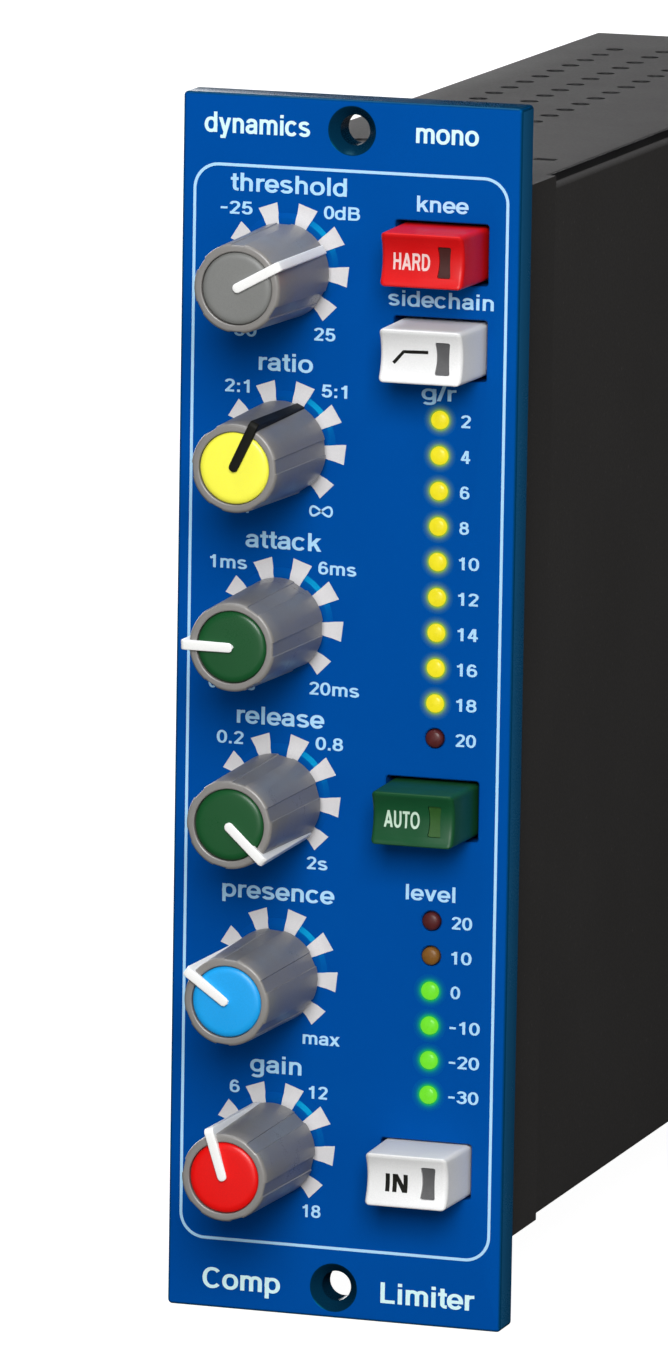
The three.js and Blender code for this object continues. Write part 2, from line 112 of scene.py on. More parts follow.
VENT_X, VENT_PITCH_X, VENT_Y, VENT_PITCH_Y, VENT_ROWS, VENT_R = 1.4, 6.1, 130.8, 6.05, 20, 1.12
SLIT_X, SLIT_Y, SLIT_HALF_X, SLIT_HALF_Y = 12.7, 25.5, 1.25, 0.85

KNOBS = [
    ("threshold", 61, "cap_grey", "pointer_white"),
    ("ratio", 25, "cap_yellow", "pointer_black"),
    ("attack", -90, "cap_green", "pointer_white"),
    ("release", 133, "cap_green", "pointer_white"),
    ("presence", -55, "cap_blue", "pointer_white"),
    ("gain", -18, "cap_red", "pointer_white"),
]
BUTTONS = [
    ("knee", 50.72, "button_red", "window_red"),
    ("sidechain", 40.4, "button_white", "window_pale"),
    ("auto", -9.6, "button_green", "window_green"),
    ("in", -49.2, "button_white", "window_pale"),
]
BUTTON_WORDS = [
    ("knee", "HARD", 7.0, 11.08, 49.64, 1.8, 0.8, "red_button_ink"),
    ("auto", "AUTO", 7.0, 11.0, -10.6, 1.82, 0.78, "green_button_ink"),
    ("in", "IN", 7.86, 10.36, -50.5, 1.96, 0.84, "pointer_black"),
]
GAIN_LAMPS = [32.73 - 3.848 * i for i in range(10)]
LEVEL_LAMPS = [-21.9 - 3.824 * i for i in range(6)]


# ---- materials
BLUE = (0.0005, 0.064, 0.308)


def feed(tree, made, inputs):
    """Gives each input of a shader node its value, or links it to the socket given for it."""
    for key, value in inputs.items():
        if isinstance(value, bpy.types.NodeSocket):
            tree.links.new(value, made.inputs[key])
        else:
            made.inputs[key].default_value = value


def node(tree, kind, inputs, **settings):
    made = tree.nodes.new(kind)
    for key, value in settings.items():
        setattr(made, key, value)
    feed(tree, made, inputs)
    return made


def shade(color, factor):
    return (*[min(1.0, c * factor) for c in color], 1.0)


def noise(tree, coords, size_mm, detail=3.0, stretch=None):
    if stretch:
        mapping = node(tree, "ShaderNodeMapping", {"Vector": coords, "Scale": stretch})
        coords = mapping.outputs["Vector"]
    values = {"Vector": coords, "Scale": 1.0 / (size_mm * MM), "Detail": detail}
    return node(tree, "ShaderNodeTexNoise", values).outputs["Fac"]


def ramp(tree, fac, low, high, from_min, from_max):
    source = {"Value": fac, "From Min": from_min, "From Max": from_max}
    target = {"To Min": low, "To Max": high}
    return node(tree, "ShaderNodeMapRange", source | target).outputs["Result"]


def mix(tree, fac, a, b):
    return node(tree, "ShaderNodeMix", {0: fac, 6: a, 7: b}, data_type="RGBA").outputs[2]


def math_of(tree, operation, a, b=0.0, **settings):
    return node(tree, "ShaderNodeMath", {0: a, 1: b}, operation=operation, **settings).outputs[0]


def new_material(name):
    made = bpy.data.materials.new(name)
    made.use_nodes = True
    return made, made.node_tree, made.node_tree.nodes["Principled BSDF"]


def surface(
    name, color, rough, metal=0.0, coat=0.0, specular=0.5,
    mottle=0.06, mottle_mm=9.0, grain_mm=0.25, grain=0.04, bump_mm=0.012,
    rough_var=0.08, wear=None, wear_amount=0.0, stretch=None, glow=0.0, glow_color=None,
    speck=None, tint=None, edges=None,
):
    """A Principled material with drifting colour, grain, bump, varied gloss and worn edges; with
    edges it also paints shade on the panel's rounded edges and countersinks and a teal sheen on its
    sides.
    """
    made, tree, shader = new_material(name)
    coords = node(tree, "ShaderNodeTexCoord", {}).outputs["Object"]
    drift = noise(tree, coords, mottle_mm, 4.0)
    grains = noise(tree, coords, grain_mm, 3.0, stretch)
    drifting = ramp(tree, drift, 0, 1, 0.3, 0.7)
    paint = mix(tree, drifting, shade(color, 1 - mottle), shade(color, 1 + mottle))
    paint = mix(tree, ramp(tree, grains, 0, 1, 0.35, 0.65), paint, shade(color, 1 - 2 * grain))
    if speck:
        dots = noise(tree, coords, 0.6, 2.0)
        paint = mix(tree, ramp(tree, dots, 0, 0.5, 0.66, 0.74), paint, (*speck, 1.0))
    if wear:
        geometry = node(tree, "ShaderNodeNewGeometry", {})
        edge = ramp(tree, geometry.outputs["Pointiness"], 0, wear_amount, 0.53, 0.62)
        patch = ramp(tree, noise(tree, coords, 1.7, 5.0), 0, 1, 0.42, 0.6)
        paint = mix(tree, math_of(tree, "MULTIPLY", edge, patch), paint, (*wear, 1.0))
    # Painted shade on the panel's rounded edges and in its countersinks, and a painted teal sheen
    # on its left and right sides.
    if edges:
        bevels, sides, sinks = edges
        paint = mix(tree, panel_edge(tree, coords, 0.34, 0.1), paint, (*bevels, 1.0))
        paint = mix(tree, panel_edge(tree, coords, 0.02, 0.005, ends=False), paint, (*sides, 1.0))
        for side in (-1, 1):
            paint = mix(tree, ear_sink(tree, coords, side * EAR_HOLE_Z), paint, (*sinks, 1.0))
    varied = ramp(tree, drift, -rough_var, rough_var, 0.3, 0.7)
    fine = ramp(tree, grains, rough - rough_var / 2, rough + rough_var / 2, 0.3, 0.7)
    height = {"Strength": 1.0, "Distance": bump_mm * MM, "Height": grains}
    bump = node(tree, "ShaderNodeBump", height)
    feed(tree, shader, {
        "Base Color": paint, "Roughness": math_of(tree, "ADD", varied, fine, use_clamp=True),
        "Normal": bump.outputs["Normal"], "Metallic": metal, "Specular IOR Level": specular,
        "Coat Weight": coat, "Coat Roughness": 0.12,
    })
    if tint:
        feed(tree, shader, {"Specular Tint": (*tint, 1.0)})
    if glow:
        light = mix(tree, drifting, shade(glow_color, 0.9), (*glow_color, 1.0))
        feed(tree, shader, {"Emission Color": light, "Emission Strength": glow})
    return made


def panel_edge(tree, coords, start, end, ends=True):
    """1 within end millimetres of the panel's outline, 0 more than start millimetres from it."""
    split = node(tree, "ShaderNodeSeparateXYZ", {0: coords})
    pairs = [(0, 0.0, PANEL_W / 2)] + [(2, MOUNT_DROP, PANEL_H / 2)] * ends
    masks = []
    for axis, middle, half in pairs:
        away = math_of(tree, "SUBTRACT", split.outputs[axis], middle * MM)
        size = math_of(tree, "ABSOLUTE", away)
        masks.append(ramp(tree, size, 0, 1, (half - start) * MM, (half - end) * MM))
    return math_of(tree, "MAXIMUM", *masks) if ends else masks[0]


def ear_sink(tree, coords, z):
    """1 inside the countersink and hole of one ear, 0 on the faces round it: where the
    countersink's painted shade goes.
    """
    squeeze = 0.5
    flatter = node(tree, "ShaderNodeMapping", {"Vector": coords, "Scale": (1, squeeze, 1)})
    values = {0: flatter.outputs["Vector"], 1: point(0, FRONT * squeeze, z)}
    away = node(tree, "ShaderNodeVectorMath", values, operation="DISTANCE")
    return ramp(tree, away.outputs["Value"], 1, 0, (SINK_R - 0.06) * MM, SINK_R * MM)


def halo(name, color):
    """The panel round a lit lamp with the lamp's glow painted on it as colour and emission:
    brightest at the lens, gone within a millimetre of it.
    """
    made = surface(name, BLUE, 0.3, tint=(0.01, 0.62, 0.8), grain_mm=0.12, bump_mm=0.003)
    tree = made.node_tree
    shader = tree.nodes["Principled BSDF"]
    level = node(tree, "ShaderNodeAttribute", {}, attribute_name="spill").outputs["Fac"]
    paint = shader.inputs["Base Color"].links[0].from_socket
    feed(tree, shader, {
        "Emission Color": mix(tree, level, (0, 0, 0, 1), (*color, 1.0)), "Emission Strength": 1.0,
        "Base Color": mix(tree, level, paint, (*color, 1.0)),
    })
    return made


def enamel(name, rough, specular, tint, **more):
    """The panel's blue paint."""
    return surface(
        name, BLUE, rough, specular=specular, mottle=0.03, mottle_mm=14, grain_mm=0.12, grain=0.03,
        bump_mm=0.003, tint=tint, **more,
    )


def ink(name, color, mottle=0.03, mottle_mm=3.0, bump_mm=0.004):
    return surface(
        name, color, 0.55, specular=0.2, mottle=mottle, mottle_mm=mottle_mm, grain_mm=0.08,
        bump_mm=bump_mm,
    )


def moulding(name, color, rough=0.34, specular=0.35, mottle=0.04, bump_mm=0.003, **more):
    return surface(
        name, color, rough, specular=specular, mottle=mottle, grain_mm=0.1, bump_mm=bump_mm, **more
    )


def button(name, color, mottle):
    return moulding(name, color, 0.42, 0.3, mottle, 0.0025, mottle_mm=4)


def window(name, color, mottle=0.2):
    return surface(
        name, color, 0.45, specular=0.3, mottle=mottle, mottle_mm=1.5, grain_mm=0.2, bump_mm=0.004
    )


def lit_lens(name, color, glow_color):
    return surface(
        name, color, 0.3, specular=0.25, mottle_mm=0.8, bump_mm=0.002,
        glow=1.0, glow_color=glow_color,
    )


def dark_lens(name, color):
    return surface(name, color, 0.4, specular=0.3, mottle=0.2, mottle_mm=0.7, bump_mm=0.002)


# Painted shade and sheen on the panel: a darker blue on its rounded edges and in its countersinks
# (painted shade), a lighter teal on its left and right sides (painted sheen).
EDGE_SHADE_AND_SHEEN = ((0.001, 0.036, 0.09), (0.012, 0.11, 0.25), (0.001, 0.022, 0.05))

looks = {
    "halo_yellow": halo("spill_yellow", (0.13, 0.22, 0.003)),
    "halo_green": halo("spill_green", (0.006, 0.21, 0.03)),
    "panel_paint": enamel(
        "panel_enamel", 0.26, 0.12, (0.01, 0.62, 0.8), rough_var=0.05, edges=EDGE_SHADE_AND_SHEEN
    ),
    "boss_paint": enamel("panel_enamel_ring", 0.3, 0.36, (0.01, 0.75, 0.85), rough_var=0.04),
    "print": ink("legend_ink", (0.40, 0.67, 0.90)),
    "title": ink("title_ink", (0.64, 0.88, 0.90)),
    "red_button_ink": ink("red_button_ink", (0.80, 0.58, 0.56)),
    "green_button_ink": ink("green_button_ink", (0.53, 0.70, 0.56)),
    "tick": ink("tick_ink", (0.63, 0.62, 0.63), 0.04, 2.5, 0.005),
    "case_paint": surface(
        "case_powder_coat", (0.053, 0.0505, 0.049), 0.62, specular=0.2, mottle=0.02, mottle_mm=22,
        grain_mm=0.3, grain=0.05, bump_mm=0.012, rough_var=0.06, speck=(0.11, 0.106, 0.1),
    ),
    "knob_plastic": moulding(
        "knob_moulding", (0.215, 0.205, 0.194), 0.36, 0.7, 0.05, 0.004, mottle_mm=5, grain=0.04,
        wear=(0.25, 0.25, 0.25), wear_amount=0.4,
    ),
    "cap_grey": moulding("cap_grey_moulding", (0.185, 0.188, 0.18), 0.5, 0.5, 0.03, 0.004),
    "cap_yellow": moulding("cap_yellow_moulding", (0.93, 0.90, 0.075), mottle=0.03),
    "cap_green": moulding("cap_green_moulding", (0.009, 0.078, 0.022), mottle=0.05),
    "cap_blue": moulding("cap_blue_moulding", (0.010, 0.34, 0.78)),
    "cap_red": moulding("cap_red_moulding", (0.74, 0.004, 0.003)),
    "pointer_white": moulding("pointer_white_moulding", (0.86, 0.86, 0.84), 0.35, 0.5, 0.02),
    "pointer_black": moulding("pointer_black_moulding", (0.009, 0.009, 0.007), 0.55, 0.12, 0.1),
    "shaft_metal": surface(
        "turned_metal", (0.62, 0.62, 0.63), 0.3, metal=1.0, grain_mm=0.15, stretch=(1, 8, 1),
        bump_mm=0.004,
    ),
    "potentiometer_body": surface(
        "potentiometer_moulding", (0.03, 0.12, 0.065), 0.5, mottle=0.08, bump_mm=0.01
    ),
    "button_red": button("button_red_moulding", (0.62, 0.004, 0.005), 0.04),
    "button_white": button("button_white_moulding", (0.78, 0.78, 0.775), 0.02),
    "button_green": button("button_green_moulding", (0.007, 0.072, 0.024), 0.05),
    "window_red": window("window_red_lens", (0.055, 0.014, 0.012)),
    "window_pale": window("window_smoke_lens", (0.105, 0.105, 0.108), 0.15),
    "window_green": window("window_green_lens", (0.028, 0.098, 0.019)),
    "plunger_plastic": surface("plunger_moulding", (0.78, 0.78, 0.74), 0.45),
    "black_plastic": surface(
        "black_moulding", (0.015, 0.015, 0.016), 0.45, mottle=0.15, grain_mm=0.2, bump_mm=0.008
    ),
    "lamp_yellow": lit_lens("lens_lit_yellow", (0.14, 0.12, 0.01), (0.80, 0.70, 0.012)),
    "lamp_green": lit_lens("lens_lit_green", (0.03, 0.14, 0.01), (0.15, 0.68, 0.022)),
    "lamp_dark_red": dark_lens("lens_unlit_red", (0.08, 0.014, 0.014)),
    "lamp_dark_amber": dark_lens("lens_unlit_amber", (0.2, 0.085, 0.014)),
    "circuit_board": surface(
        "solder_mask", (0.010, 0.085, 0.035), 0.32, coat=0.3, mottle=0.12, mottle_mm=6,
        grain_mm=0.3, bump_mm=0.006, speck=(0.06, 0.16, 0.09),
    ),
    "gold": surface(
        "gold_plating", (0.80, 0.50, 0.13), 0.35, metal=0.45, mottle_mm=3, grain_mm=0.2,
        stretch=(1, 6, 1), bump_mm=0.004,
    ),
    "capacitor_sleeve": surface("printed_sleeve", (0.012, 0.014, 0.03), 0.3, coat=0.3, mottle=0.1),
    "black_screw": surface(
        "black_oxide", (0.03, 0.03, 0.032), 0.38, metal=0.6, mottle=0.15, mottle_mm=1.5,
        wear=(0.35, 0.34, 0.33), wear_amount=0.6,
    ),
    "steel_screw": surface(
        "zinc_plating", (0.62, 0.62, 0.60), 0.32, metal=1.0, mottle=0.08, mottle_mm=2, grain_mm=0.2,
        bump_mm=0.004,
    ),
}


# ---- mesh code
def make(name, parts, look, body, slot=None, stands_for=(), crease=35.0):
    """Joins (points, faces) parts into one piece in the row's frame, and says what it rides on."""
    return finish_piece(name, joined(name, parts), look, body, slot, stands_for, crease)


def joined(name, parts):
    mesh = bpy.data.meshes.new(name)
    points, faces = [], []
    for part_points, part_faces in parts:
        faces += [tuple(len(points) + i for i in face) for face in part_faces]
        points += part_points
    mesh.from_pydata([tuple(p) for p in points], [], faces)
    return mesh


def finish_piece(name, mesh, look, body, slot=None, stands_for=(), crease=35.0):
    """Cleans a mesh, gives it its look, smooths it up to the crease angle, links it into the scene
    on its body and hides the CAD parts it stands for.
    """
    work = bmesh.new()
    work.from_mesh(mesh)
    bmesh.ops.remove_doubles(work, verts=work.verts, dist=1e-7)
    bmesh.ops.dissolve_degenerate(work, edges=work.edges, dist=1e-8)
    bmesh.ops.recalc_face_normals(work, faces=work.faces)
    work.to_mesh(mesh)
    work.free()
    mesh.materials.clear()
    mesh.materials.append(looks[look])
    mesh.polygons.foreach_set("use_smooth", [True] * len(mesh.polygons))
    mesh.set_sharp_from_angle(angle=math.radians(crease))
    piece = bpy.data.objects.new(name, mesh)
    bpy.context.scene.collection.objects.link(piece)
    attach(piece, body)
    if stands_for:
        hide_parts(*stands_for)
    return piece


def loft(rings, cap_first=True, cap_last=True):
    count = len(rings[0])
    faces = []
    for k in range(len(rings) - 1):
        for i in range(count):
            j = (i + 1) % count
            faces.append((k * count + i, k * count + j, (k + 1) * count + j, (k + 1) * count + i))
    if cap_first:
        faces.append(tuple(range(count)))
    if cap_last:
        last = (len(rings) - 1) * count
        faces.append(tuple(last + i for i in range(count - 1, -1, -1)))
    return [p for ring in rings for p in ring], faces


def hoop(rings):
    """A part whose rings run round in a loop, so that it has no ends."""
    return loft(rings + [rings[0]], False, False)


def rounded_rect(width, height, radius, x=0.0, z=0.0, steps=6):
    outline = []
    for corner, (sx, sz) in enumerate(CORNERS):
        for k in range(steps + 1):
            a = math.radians(90 * (corner - 1) + 90 * k / steps)
            cx, cz = sx * (width / 2 - radius), sz * (height / 2 - radius)
            outline.append((x + cx + radius * math.cos(a), z + cz + radius * math.sin(a)))
    return outline


def circle(radius, x=0.0, z=0.0, steps=48):
    angles = [i * (2 * math.pi / steps) for i in range(steps)]
    return [(x + radius * math.cos(a), z + radius * math.sin(a)) for a in angles]


def along_y(sections):
    """Lofts (outline in x and z, y) sections into one closed part."""
    return loft([[point(x, y, z) for x, z in outline] for outline, y in sections])


def round_over(radius, steps=5):
    """(inset, depth) pairs of a quarter round, from the flat face to the full side."""
    angles = [math.pi / 2 * k / steps for k in range(steps + 1)]
    return [(radius * (1 - math.sin(a)), radius * (1 - math.cos(a))) for a in angles]


def slab(width, height, radius, front, rear, edge, rear_edge):
    """A rounded plate facing -Y with rounded front and rear edges."""
    steps = [(inset, front + depth) for inset, depth in round_over(edge)]
    steps += [(inset, rear - depth) for inset, depth in reversed(round_over(rear_edge))]
    return along_y([
        (rounded_rect(width - 2 * inset, height - 2 * inset, max(radius - inset, 0.02)), y)
        for inset, y in steps
    ])


def flared(outline, chamfer):
    """A cutter through the panel with a chamfered mouth; outline(grown) is its shape."""
    near, far = FRONT - 1.0, 1.0
    mouth = chamfer + FRONT - near
    return along_y([(outline(mouth), near), (outline(0.0), FRONT + chamfer), (outline(0.0), far)])


def mesh_of(parts):
    """The parts as a mesh for combine(), with its faces turned outward."""
    mesh = joined("work", parts)
    work = bmesh.new()
    work.from_mesh(mesh)
    bmesh.ops.recalc_face_normals(work, faces=work.faces)
    work.to_mesh(mesh)
    work.free()
    return mesh


def combine(base, tool, operation):
    """The exact boolean of two meshes, as a new mesh."""
    holders = []
    for mesh in (base, tool):
        holder = bpy.data.objects.new("work", mesh)
        bpy.context.scene.collection.objects.link(holder)
        holders.append(holder)
    modifier = holders[0].modifiers.new("work", "BOOLEAN")
    modifier.operation, modifier.solver, modifier.object = operation, "EXACT", holders[1]
    graph = bpy.context.evaluated_depsgraph_get()
    result = bpy.data.meshes.new_from_object(holders[0].evaluated_get(graph))
    for holder in holders:
        bpy.data.objects.remove(holder)
    return result


def box_part(low, high, edge=0.0):
    """A box between two corners in panel millimetres, its edges rounded."""
    work = bmesh.new()
    bmesh.ops.create_cube(work, size=1.0)
    size = Vector(high) - Vector(low)
    middle = (Vector(high) + Vector(low)) / 2
    for vert in work.verts:
        vert.co = Vector([c * s + m for c, s, m in zip(vert.co, size, middle)])
    if edge:
        bmesh.ops.bevel(work, geom=work.edges, offset=edge, segments=4, profile=0.5, affect="EDGES")
    points = [point(*vert.co) for vert in work.verts]
    work.verts.index_update()
    faces = [tuple(vert.index for vert in face.verts) for face in work.faces]
    work.free()
    return points, faces


def turned(part, angle, x, z):
    """A part drawn about x = 0, z = 0, turned clockwise seen from the front and put in place."""
    turn = Matrix.Rotation(math.radians(angle), 4, "Y")
    drop = Vector((0, 0, MOUNT_DROP * MM))
    return [turn @ (p - drop) + point(x, 0, z) for p in part[0]], part[1]


# ---- front panel
def panel():
    plate = mesh_of([slab(PANEL_W, PANEL_H, PANEL_CORNER, FRONT, 0.0, PANEL_EDGE, PANEL_REAR_EDGE)])
    shafts = [KNOB_TOP_Z - i * KNOB_PITCH for i in range(len(KNOBS))]
    round_holes = [(SHAFT_HOLE_R, KNOB_X, z, 48, SHAFT_CHAMFER) for z in shafts]
    round_holes += [(LAMP_HOLE_R, LAMP_X, z, 32, LAMP_CHAMFER) for z in GAIN_LAMPS + LEVEL_LAMPS]
    cutters = []
    for radius, x, z, steps, chamfer in round_holes:
        cutters.append(flared(lambda grown: circle(radius + grown, x, z, steps), chamfer))
    for name, z, _, _ in BUTTONS:
        w, h = IN_OPENING if name == "in" else BUTTON_OPENING

        def outline(grown):
            corner = OPENING_CORNER + grown
            return rounded_rect(w + 2 * grown, h + 2 * grown, corner, BUTTON_X, z)

        cutters.append(flared(outline, OPENING_CHAMFER))
    for z in (-EAR_HOLE_Z, EAR_HOLE_Z):
        sink = [(circle(radius, 0, z, 64), FRONT + depth) for radius, depth in COUNTERSINK]
        cutters.append(along_y(sink))
    cut = combine(plate, mesh_of(cutters), "DIFFERENCE")
    stands_for = ("front_panel",)
    finish_piece("front_panel_plate", cut, "panel_paint", HOUSING, "panel_paint", stands_for, 17.0)


def ring_centres():
    return [(TICK_X, TICK_TOP_Z - i * KNOB_PITCH) for i in range(len(KNOBS))]


def bosses():
    """The low raised ring of the panel round each knob."""
    parts = []
    foot, top, bore = BOSS_R
    face = FRONT - BOSS_H
    profile = [(foot, FRONT + 0.02), (foot, FRONT), (top + 0.03, face + 0.012), (top, face)]
    profile += [(bore, face), (bore - 0.15, FRONT - 0.05), (bore - 0.15, FRONT + 0.02)]
    for x, z in ring_centres():
        rings = [[point(px, y, pz) for px, pz in circle(r, x, z, 96)] for r, y in profile]
        parts.append(hoop(rings))
    make("front_panel_bosses", parts, "boss_paint", HOUSING, "panel_paint")


def on_panel(x, z, lift):
    return point(x, FRONT - lift, z)


def ribbon_ring(at, across, place=on_panel, lifts=(0.0, PRINT)):
    """Four points across a line of ink at (x, z): its two feet and its two raised edges."""
    low, high = lifts
    corners = ((-1, low), (-1, high), (1, high), (1, low))
    return [place(at.x + across.x * side, at.y + across.y * side, lift) for side, lift in corners]


def tick(x, z, angle):
    """One tapered mark that climbs over the raised ring."""
    a = math.radians(angle)
    out, across = Vector((math.sin(a), math.cos(a))), Vector((math.cos(a), -math.sin(a)))
    rings = []
    for radius, width, height in zip(TICK_RADII, TICK_WIDTHS, (BOSS_H, BOSS_H, 0.0, 0.0)):
        at = Vector((x, z)) + out * radius
        rings.append(ribbon_ring(at, across * (width / 2), lifts=(height, height + PRINT)))
    return loft(rings)


def ticks():
    parts = []
    for x, z in ring_centres():
        for k in range(TICK_COUNT):
            parts.append(tick(x, z, -TICK_SPAN / 2 + TICK_SPAN * k / (TICK_COUNT - 1)))
    make("panel_dial_ticks", parts, "tick", HOUSING, "panel_paint")


def frame_line():
    def outline(inset):
        width, height = FRAME_W - 2 * inset, FRAME_H - 2 * inset
        return rounded_rect(width, height, FRAME_CORNER - inset, FRAME_X, FRAME_Z, steps=12)

    corners = ((0.0, 0.0), (0.0, PRINT), (FRAME_PEN, PRINT), (FRAME_PEN, 0.0))
    rings = [[on_panel(x, z, lift) for x, z in outline(inset)] for inset, lift in corners]
    make("panel_frame_line", [hoop(rings)], "print", HOUSING, "panel_paint")


# ---- lettering
# A plain grotesque alphabet, drawn with a pen: each sign is its advance and its strokes, in tenths
# of the body size. A stroke is a list of points and of (cx, cz, rx, rz, from, to) arcs in degrees;
# one that starts with "/" is cut level at both ends, one that starts with "o" is a closed oval.
STEM, TALL_STEM = [(1.35, 0), (1.35, 5.3)], [(1.35, 0), (1.35, 7.2)]
CAPITAL_STEM = [(1.45, 0), (1.45, 7.2)]
ARCH = [(1.35, 2.8), (3.05, 3.2, 1.7, 1.6, 180, 0), (4.75, 0)]
ALPHABET = {
    "a": (5.6,
          [(1.1, 3.75), (2.75, 3.65, 1.65, 1.15, 165, 0), (4.4, 1.2), (4.55, 0.55), (5.15, 0.5)],
          [(4.4, 2.95), (3.3, 2.8), (2.35, 1.62, 1.45, 1.12, 90, 270), (3.3, 0.6), (4.4, 1.35)]),
    "c": (5.6, [(2.8, 2.62, 2.05, 2.18, 38, 322)]),
    "d": (6.1, ["o", (2.85, 2.62, 2.05, 2.18, 0, 360)], [(4.8, 0), (4.8, 7.2)]),
    "e": (5.6, [(0.8, 2.5), (4.7, 2.5)], [(4.85, 1.95), (2.8, 2.62, 2.05, 2.18, 0, 325)]),
    "g": (6.1, ["o", (2.85, 2.75, 2.05, 2.05, 0, 360)],
          [(4.8, 5.3), (4.8, -0.4), (2.85, -0.4, 1.95, 1.2, 0, -150)]),
    "h": (6.1, TALL_STEM, ARCH),
    "i": (2.8, [(1.4, 0), (1.4, 5.3)], [(1.4, 6.1), (1.4, 7.2)]),
    "k": (5.6, TALL_STEM, ["/", (1.5, 1.9), (4.7, 5.3)], ["/", (4.95, 0), (2.9, 3.4)]),
    "l": (2.8, [(1.4, 0), (1.4, 7.2)]),
    "m": (8.9, STEM, [(1.35, 2.8), (2.95, 3.3, 1.6, 1.5, 180, 0), (4.55, 0)],
          [(4.55, 2.8), (6.1, 3.3, 1.55, 1.5, 180, 0), (7.65, 0)]),
    "n": (6.1, STEM, ARCH),
    "o": (6.1, ["o", (3.05, 2.62, 2.15, 2.18, 0, 360)]),
    "p": (6.1, ["o", (3.25, 2.62, 2.05, 2.18, 0, 360)], [(1.3, -2.0), (1.3, 5.3)]),
    "r": (3.9, STEM, [(1.35, 2.6), (3.3, 3.1, 1.95, 1.65, 180, 88), (3.85, 4.75)]),
    "s": (5.6, [(2.75, 3.8, 1.65, 0.98, 20, 235), (2.85, 1.5, 1.75, 1.02, 55, -165)]),
    "t": (3.3, [(1.7, 6.8), (1.7, 1.6), (2.75, 1.6, 1.05, 1.05, 180, 270), (3.25, 0.55)],
          [(0.2, 4.75), (3.2, 4.75)]),
    "v": (5.6, ["/", (0.95, 5.3), (2.8, 0)], ["/", (4.65, 5.3), (2.8, 0)]),
    "x": (5.6, ["/", (0.95, 5.3), (4.65, 0)], ["/", (4.65, 5.3), (0.95, 0)]),
    "y": (5.6, ["/", (0.95, 5.3), (2.85, 0.3)], ["/", (4.7, 5.3), (2.3, -2.0)],
          [(0.9, -1.45), (2.3, -1.45)]),
    "0": (5.6, ["o", (2.8, 3.55, 1.9, 3.05, 0, 360)]),
    "1": (5.6, [(3.25, 0), (3.25, 7.1)], [(1.1, 5.35), (2.3, 5.5), (2.95, 6.4)]),
    "2": (5.6, [(2.8, 5.05, 1.75, 1.5, 172, -42), (1.35, 0.75)], [(0.55, 0.57), (4.95, 0.57)]),
    "3": (5.6, [(2.75, 5.2, 1.65, 1.35, 165, -80), (2.3, 3.8)],
          [(2.3, 3.8), (2.75, 2.15, 1.85, 1.65, 80, -168)]),
    "4": (5.6, ["/", (0.95, 2.1), (3.4, 7.1)], [(0.45, 2.1), (5.25, 2.1)],
          [(3.75, 0), (3.75, 7.1)]),
    "5": (5.6, [(4.8, 6.5), (1.6, 6.5), (1.25, 3.4)],
          [(1.25, 3.1), (2.8, 2.35, 1.85, 1.8, 130, -165)]),
    "6": (5.6, ["o", (2.85, 2.3, 1.85, 1.75, 0, 360)], [(2.85, 3.4, 1.85, 3.15, 38, 185)]),
    "8": (5.6, ["o", (2.8, 5.2, 1.6, 1.35, 0, 360)], ["o", (2.8, 2.15, 1.9, 1.6, 0, 360)]),
    "-": (4.0, [(0.3, 3.2), (3.4, 3.2)]),
    ".": (2.8, [(1.4, 0), (1.4, 1.35)]),
    ":": (3.0, [(1.5, 0), (1.5, 1.35)], [(1.5, 3.8), (1.5, 5.15)]),
    "/": (2.8, ["/", (0.3, -0.2), (2.5, 7.3)]),
    "A": (7.2, ["/", (0.9, 0), (3.6, 7.2)], ["/", (6.3, 0), (3.6, 7.2)], [(1.8, 2.1), (5.4, 2.1)]),
    "B": (7.2, CAPITAL_STEM, [(1.45, 6.62), (4.1, 5.25, 1.55, 1.37, 90, -90), (1.45, 3.88)],
          [(1.45, 3.88), (4.3, 2.22, 1.75, 1.66, 90, -90), (1.45, 0.57)]),
    "C": (7.2, [(3.75, 3.6, 2.75, 3.12, 42, 318)]),
    "D": (7.2, [(1.45, 0.57), (1.45, 6.62), (3.4, 3.6, 2.65, 3.02, 90, -90), (1.45, 0.57)]),
    "H": (7.2, CAPITAL_STEM, [(5.75, 0), (5.75, 7.2)], [(1.45, 3.7), (5.75, 3.7)]),
    "I": (2.8, [(1.4, 0), (1.4, 7.2)]),
    "L": (6.1, [(1.45, 7.2), (1.45, 0.57), (5.7, 0.57)]),
    "N": (7.2, CAPITAL_STEM, [(5.75, 0), (5.75, 7.2)], ["/", (5.6, 0), (1.6, 7.2)]),
    "O": (7.8, ["o", (3.9, 3.6, 2.85, 3.12, 0, 360)]),
    "R": (7.2, CAPITAL_STEM, [(1.45, 6.62), (4.2, 5.1, 1.6, 1.52, 90, -90), (1.45, 3.58)],
          ["/", (6.1, 0), (4.4, 3.58)]),
    "T": (6.1, [(3.05, 0), (3.05, 7.2)], [(0.3, 6.62), (5.8, 6.62)]),
    "U": (7.2, [(1.45, 7.2), (3.6, 2.6, 2.15, 2.12, 180, 360), (5.75, 7.2)]),
}


def stroke_points(stroke):
    """The stroke as plain points; ovals are a little squarer than an ellipse."""
    out = []
    for item in stroke:
        if len(item) == 2:
            out.append(item)
            continue
        cx, cz, rx, rz, start, stop = item
        steps = max(4, int(abs(stop - start) / 11.25))
        for k in range(steps + 1):
            a = math.radians(start + (stop - start) * k / steps)
            across, up = (math.copysign(abs(v) ** 0.9, v) for v in (math.cos(a), math.sin(a)))
            out.append((cx + rx * across, cz + rz * up))
    return [p for i, p in enumerate(out) if not i or math.dist(p, out[i - 1]) > 0.02]


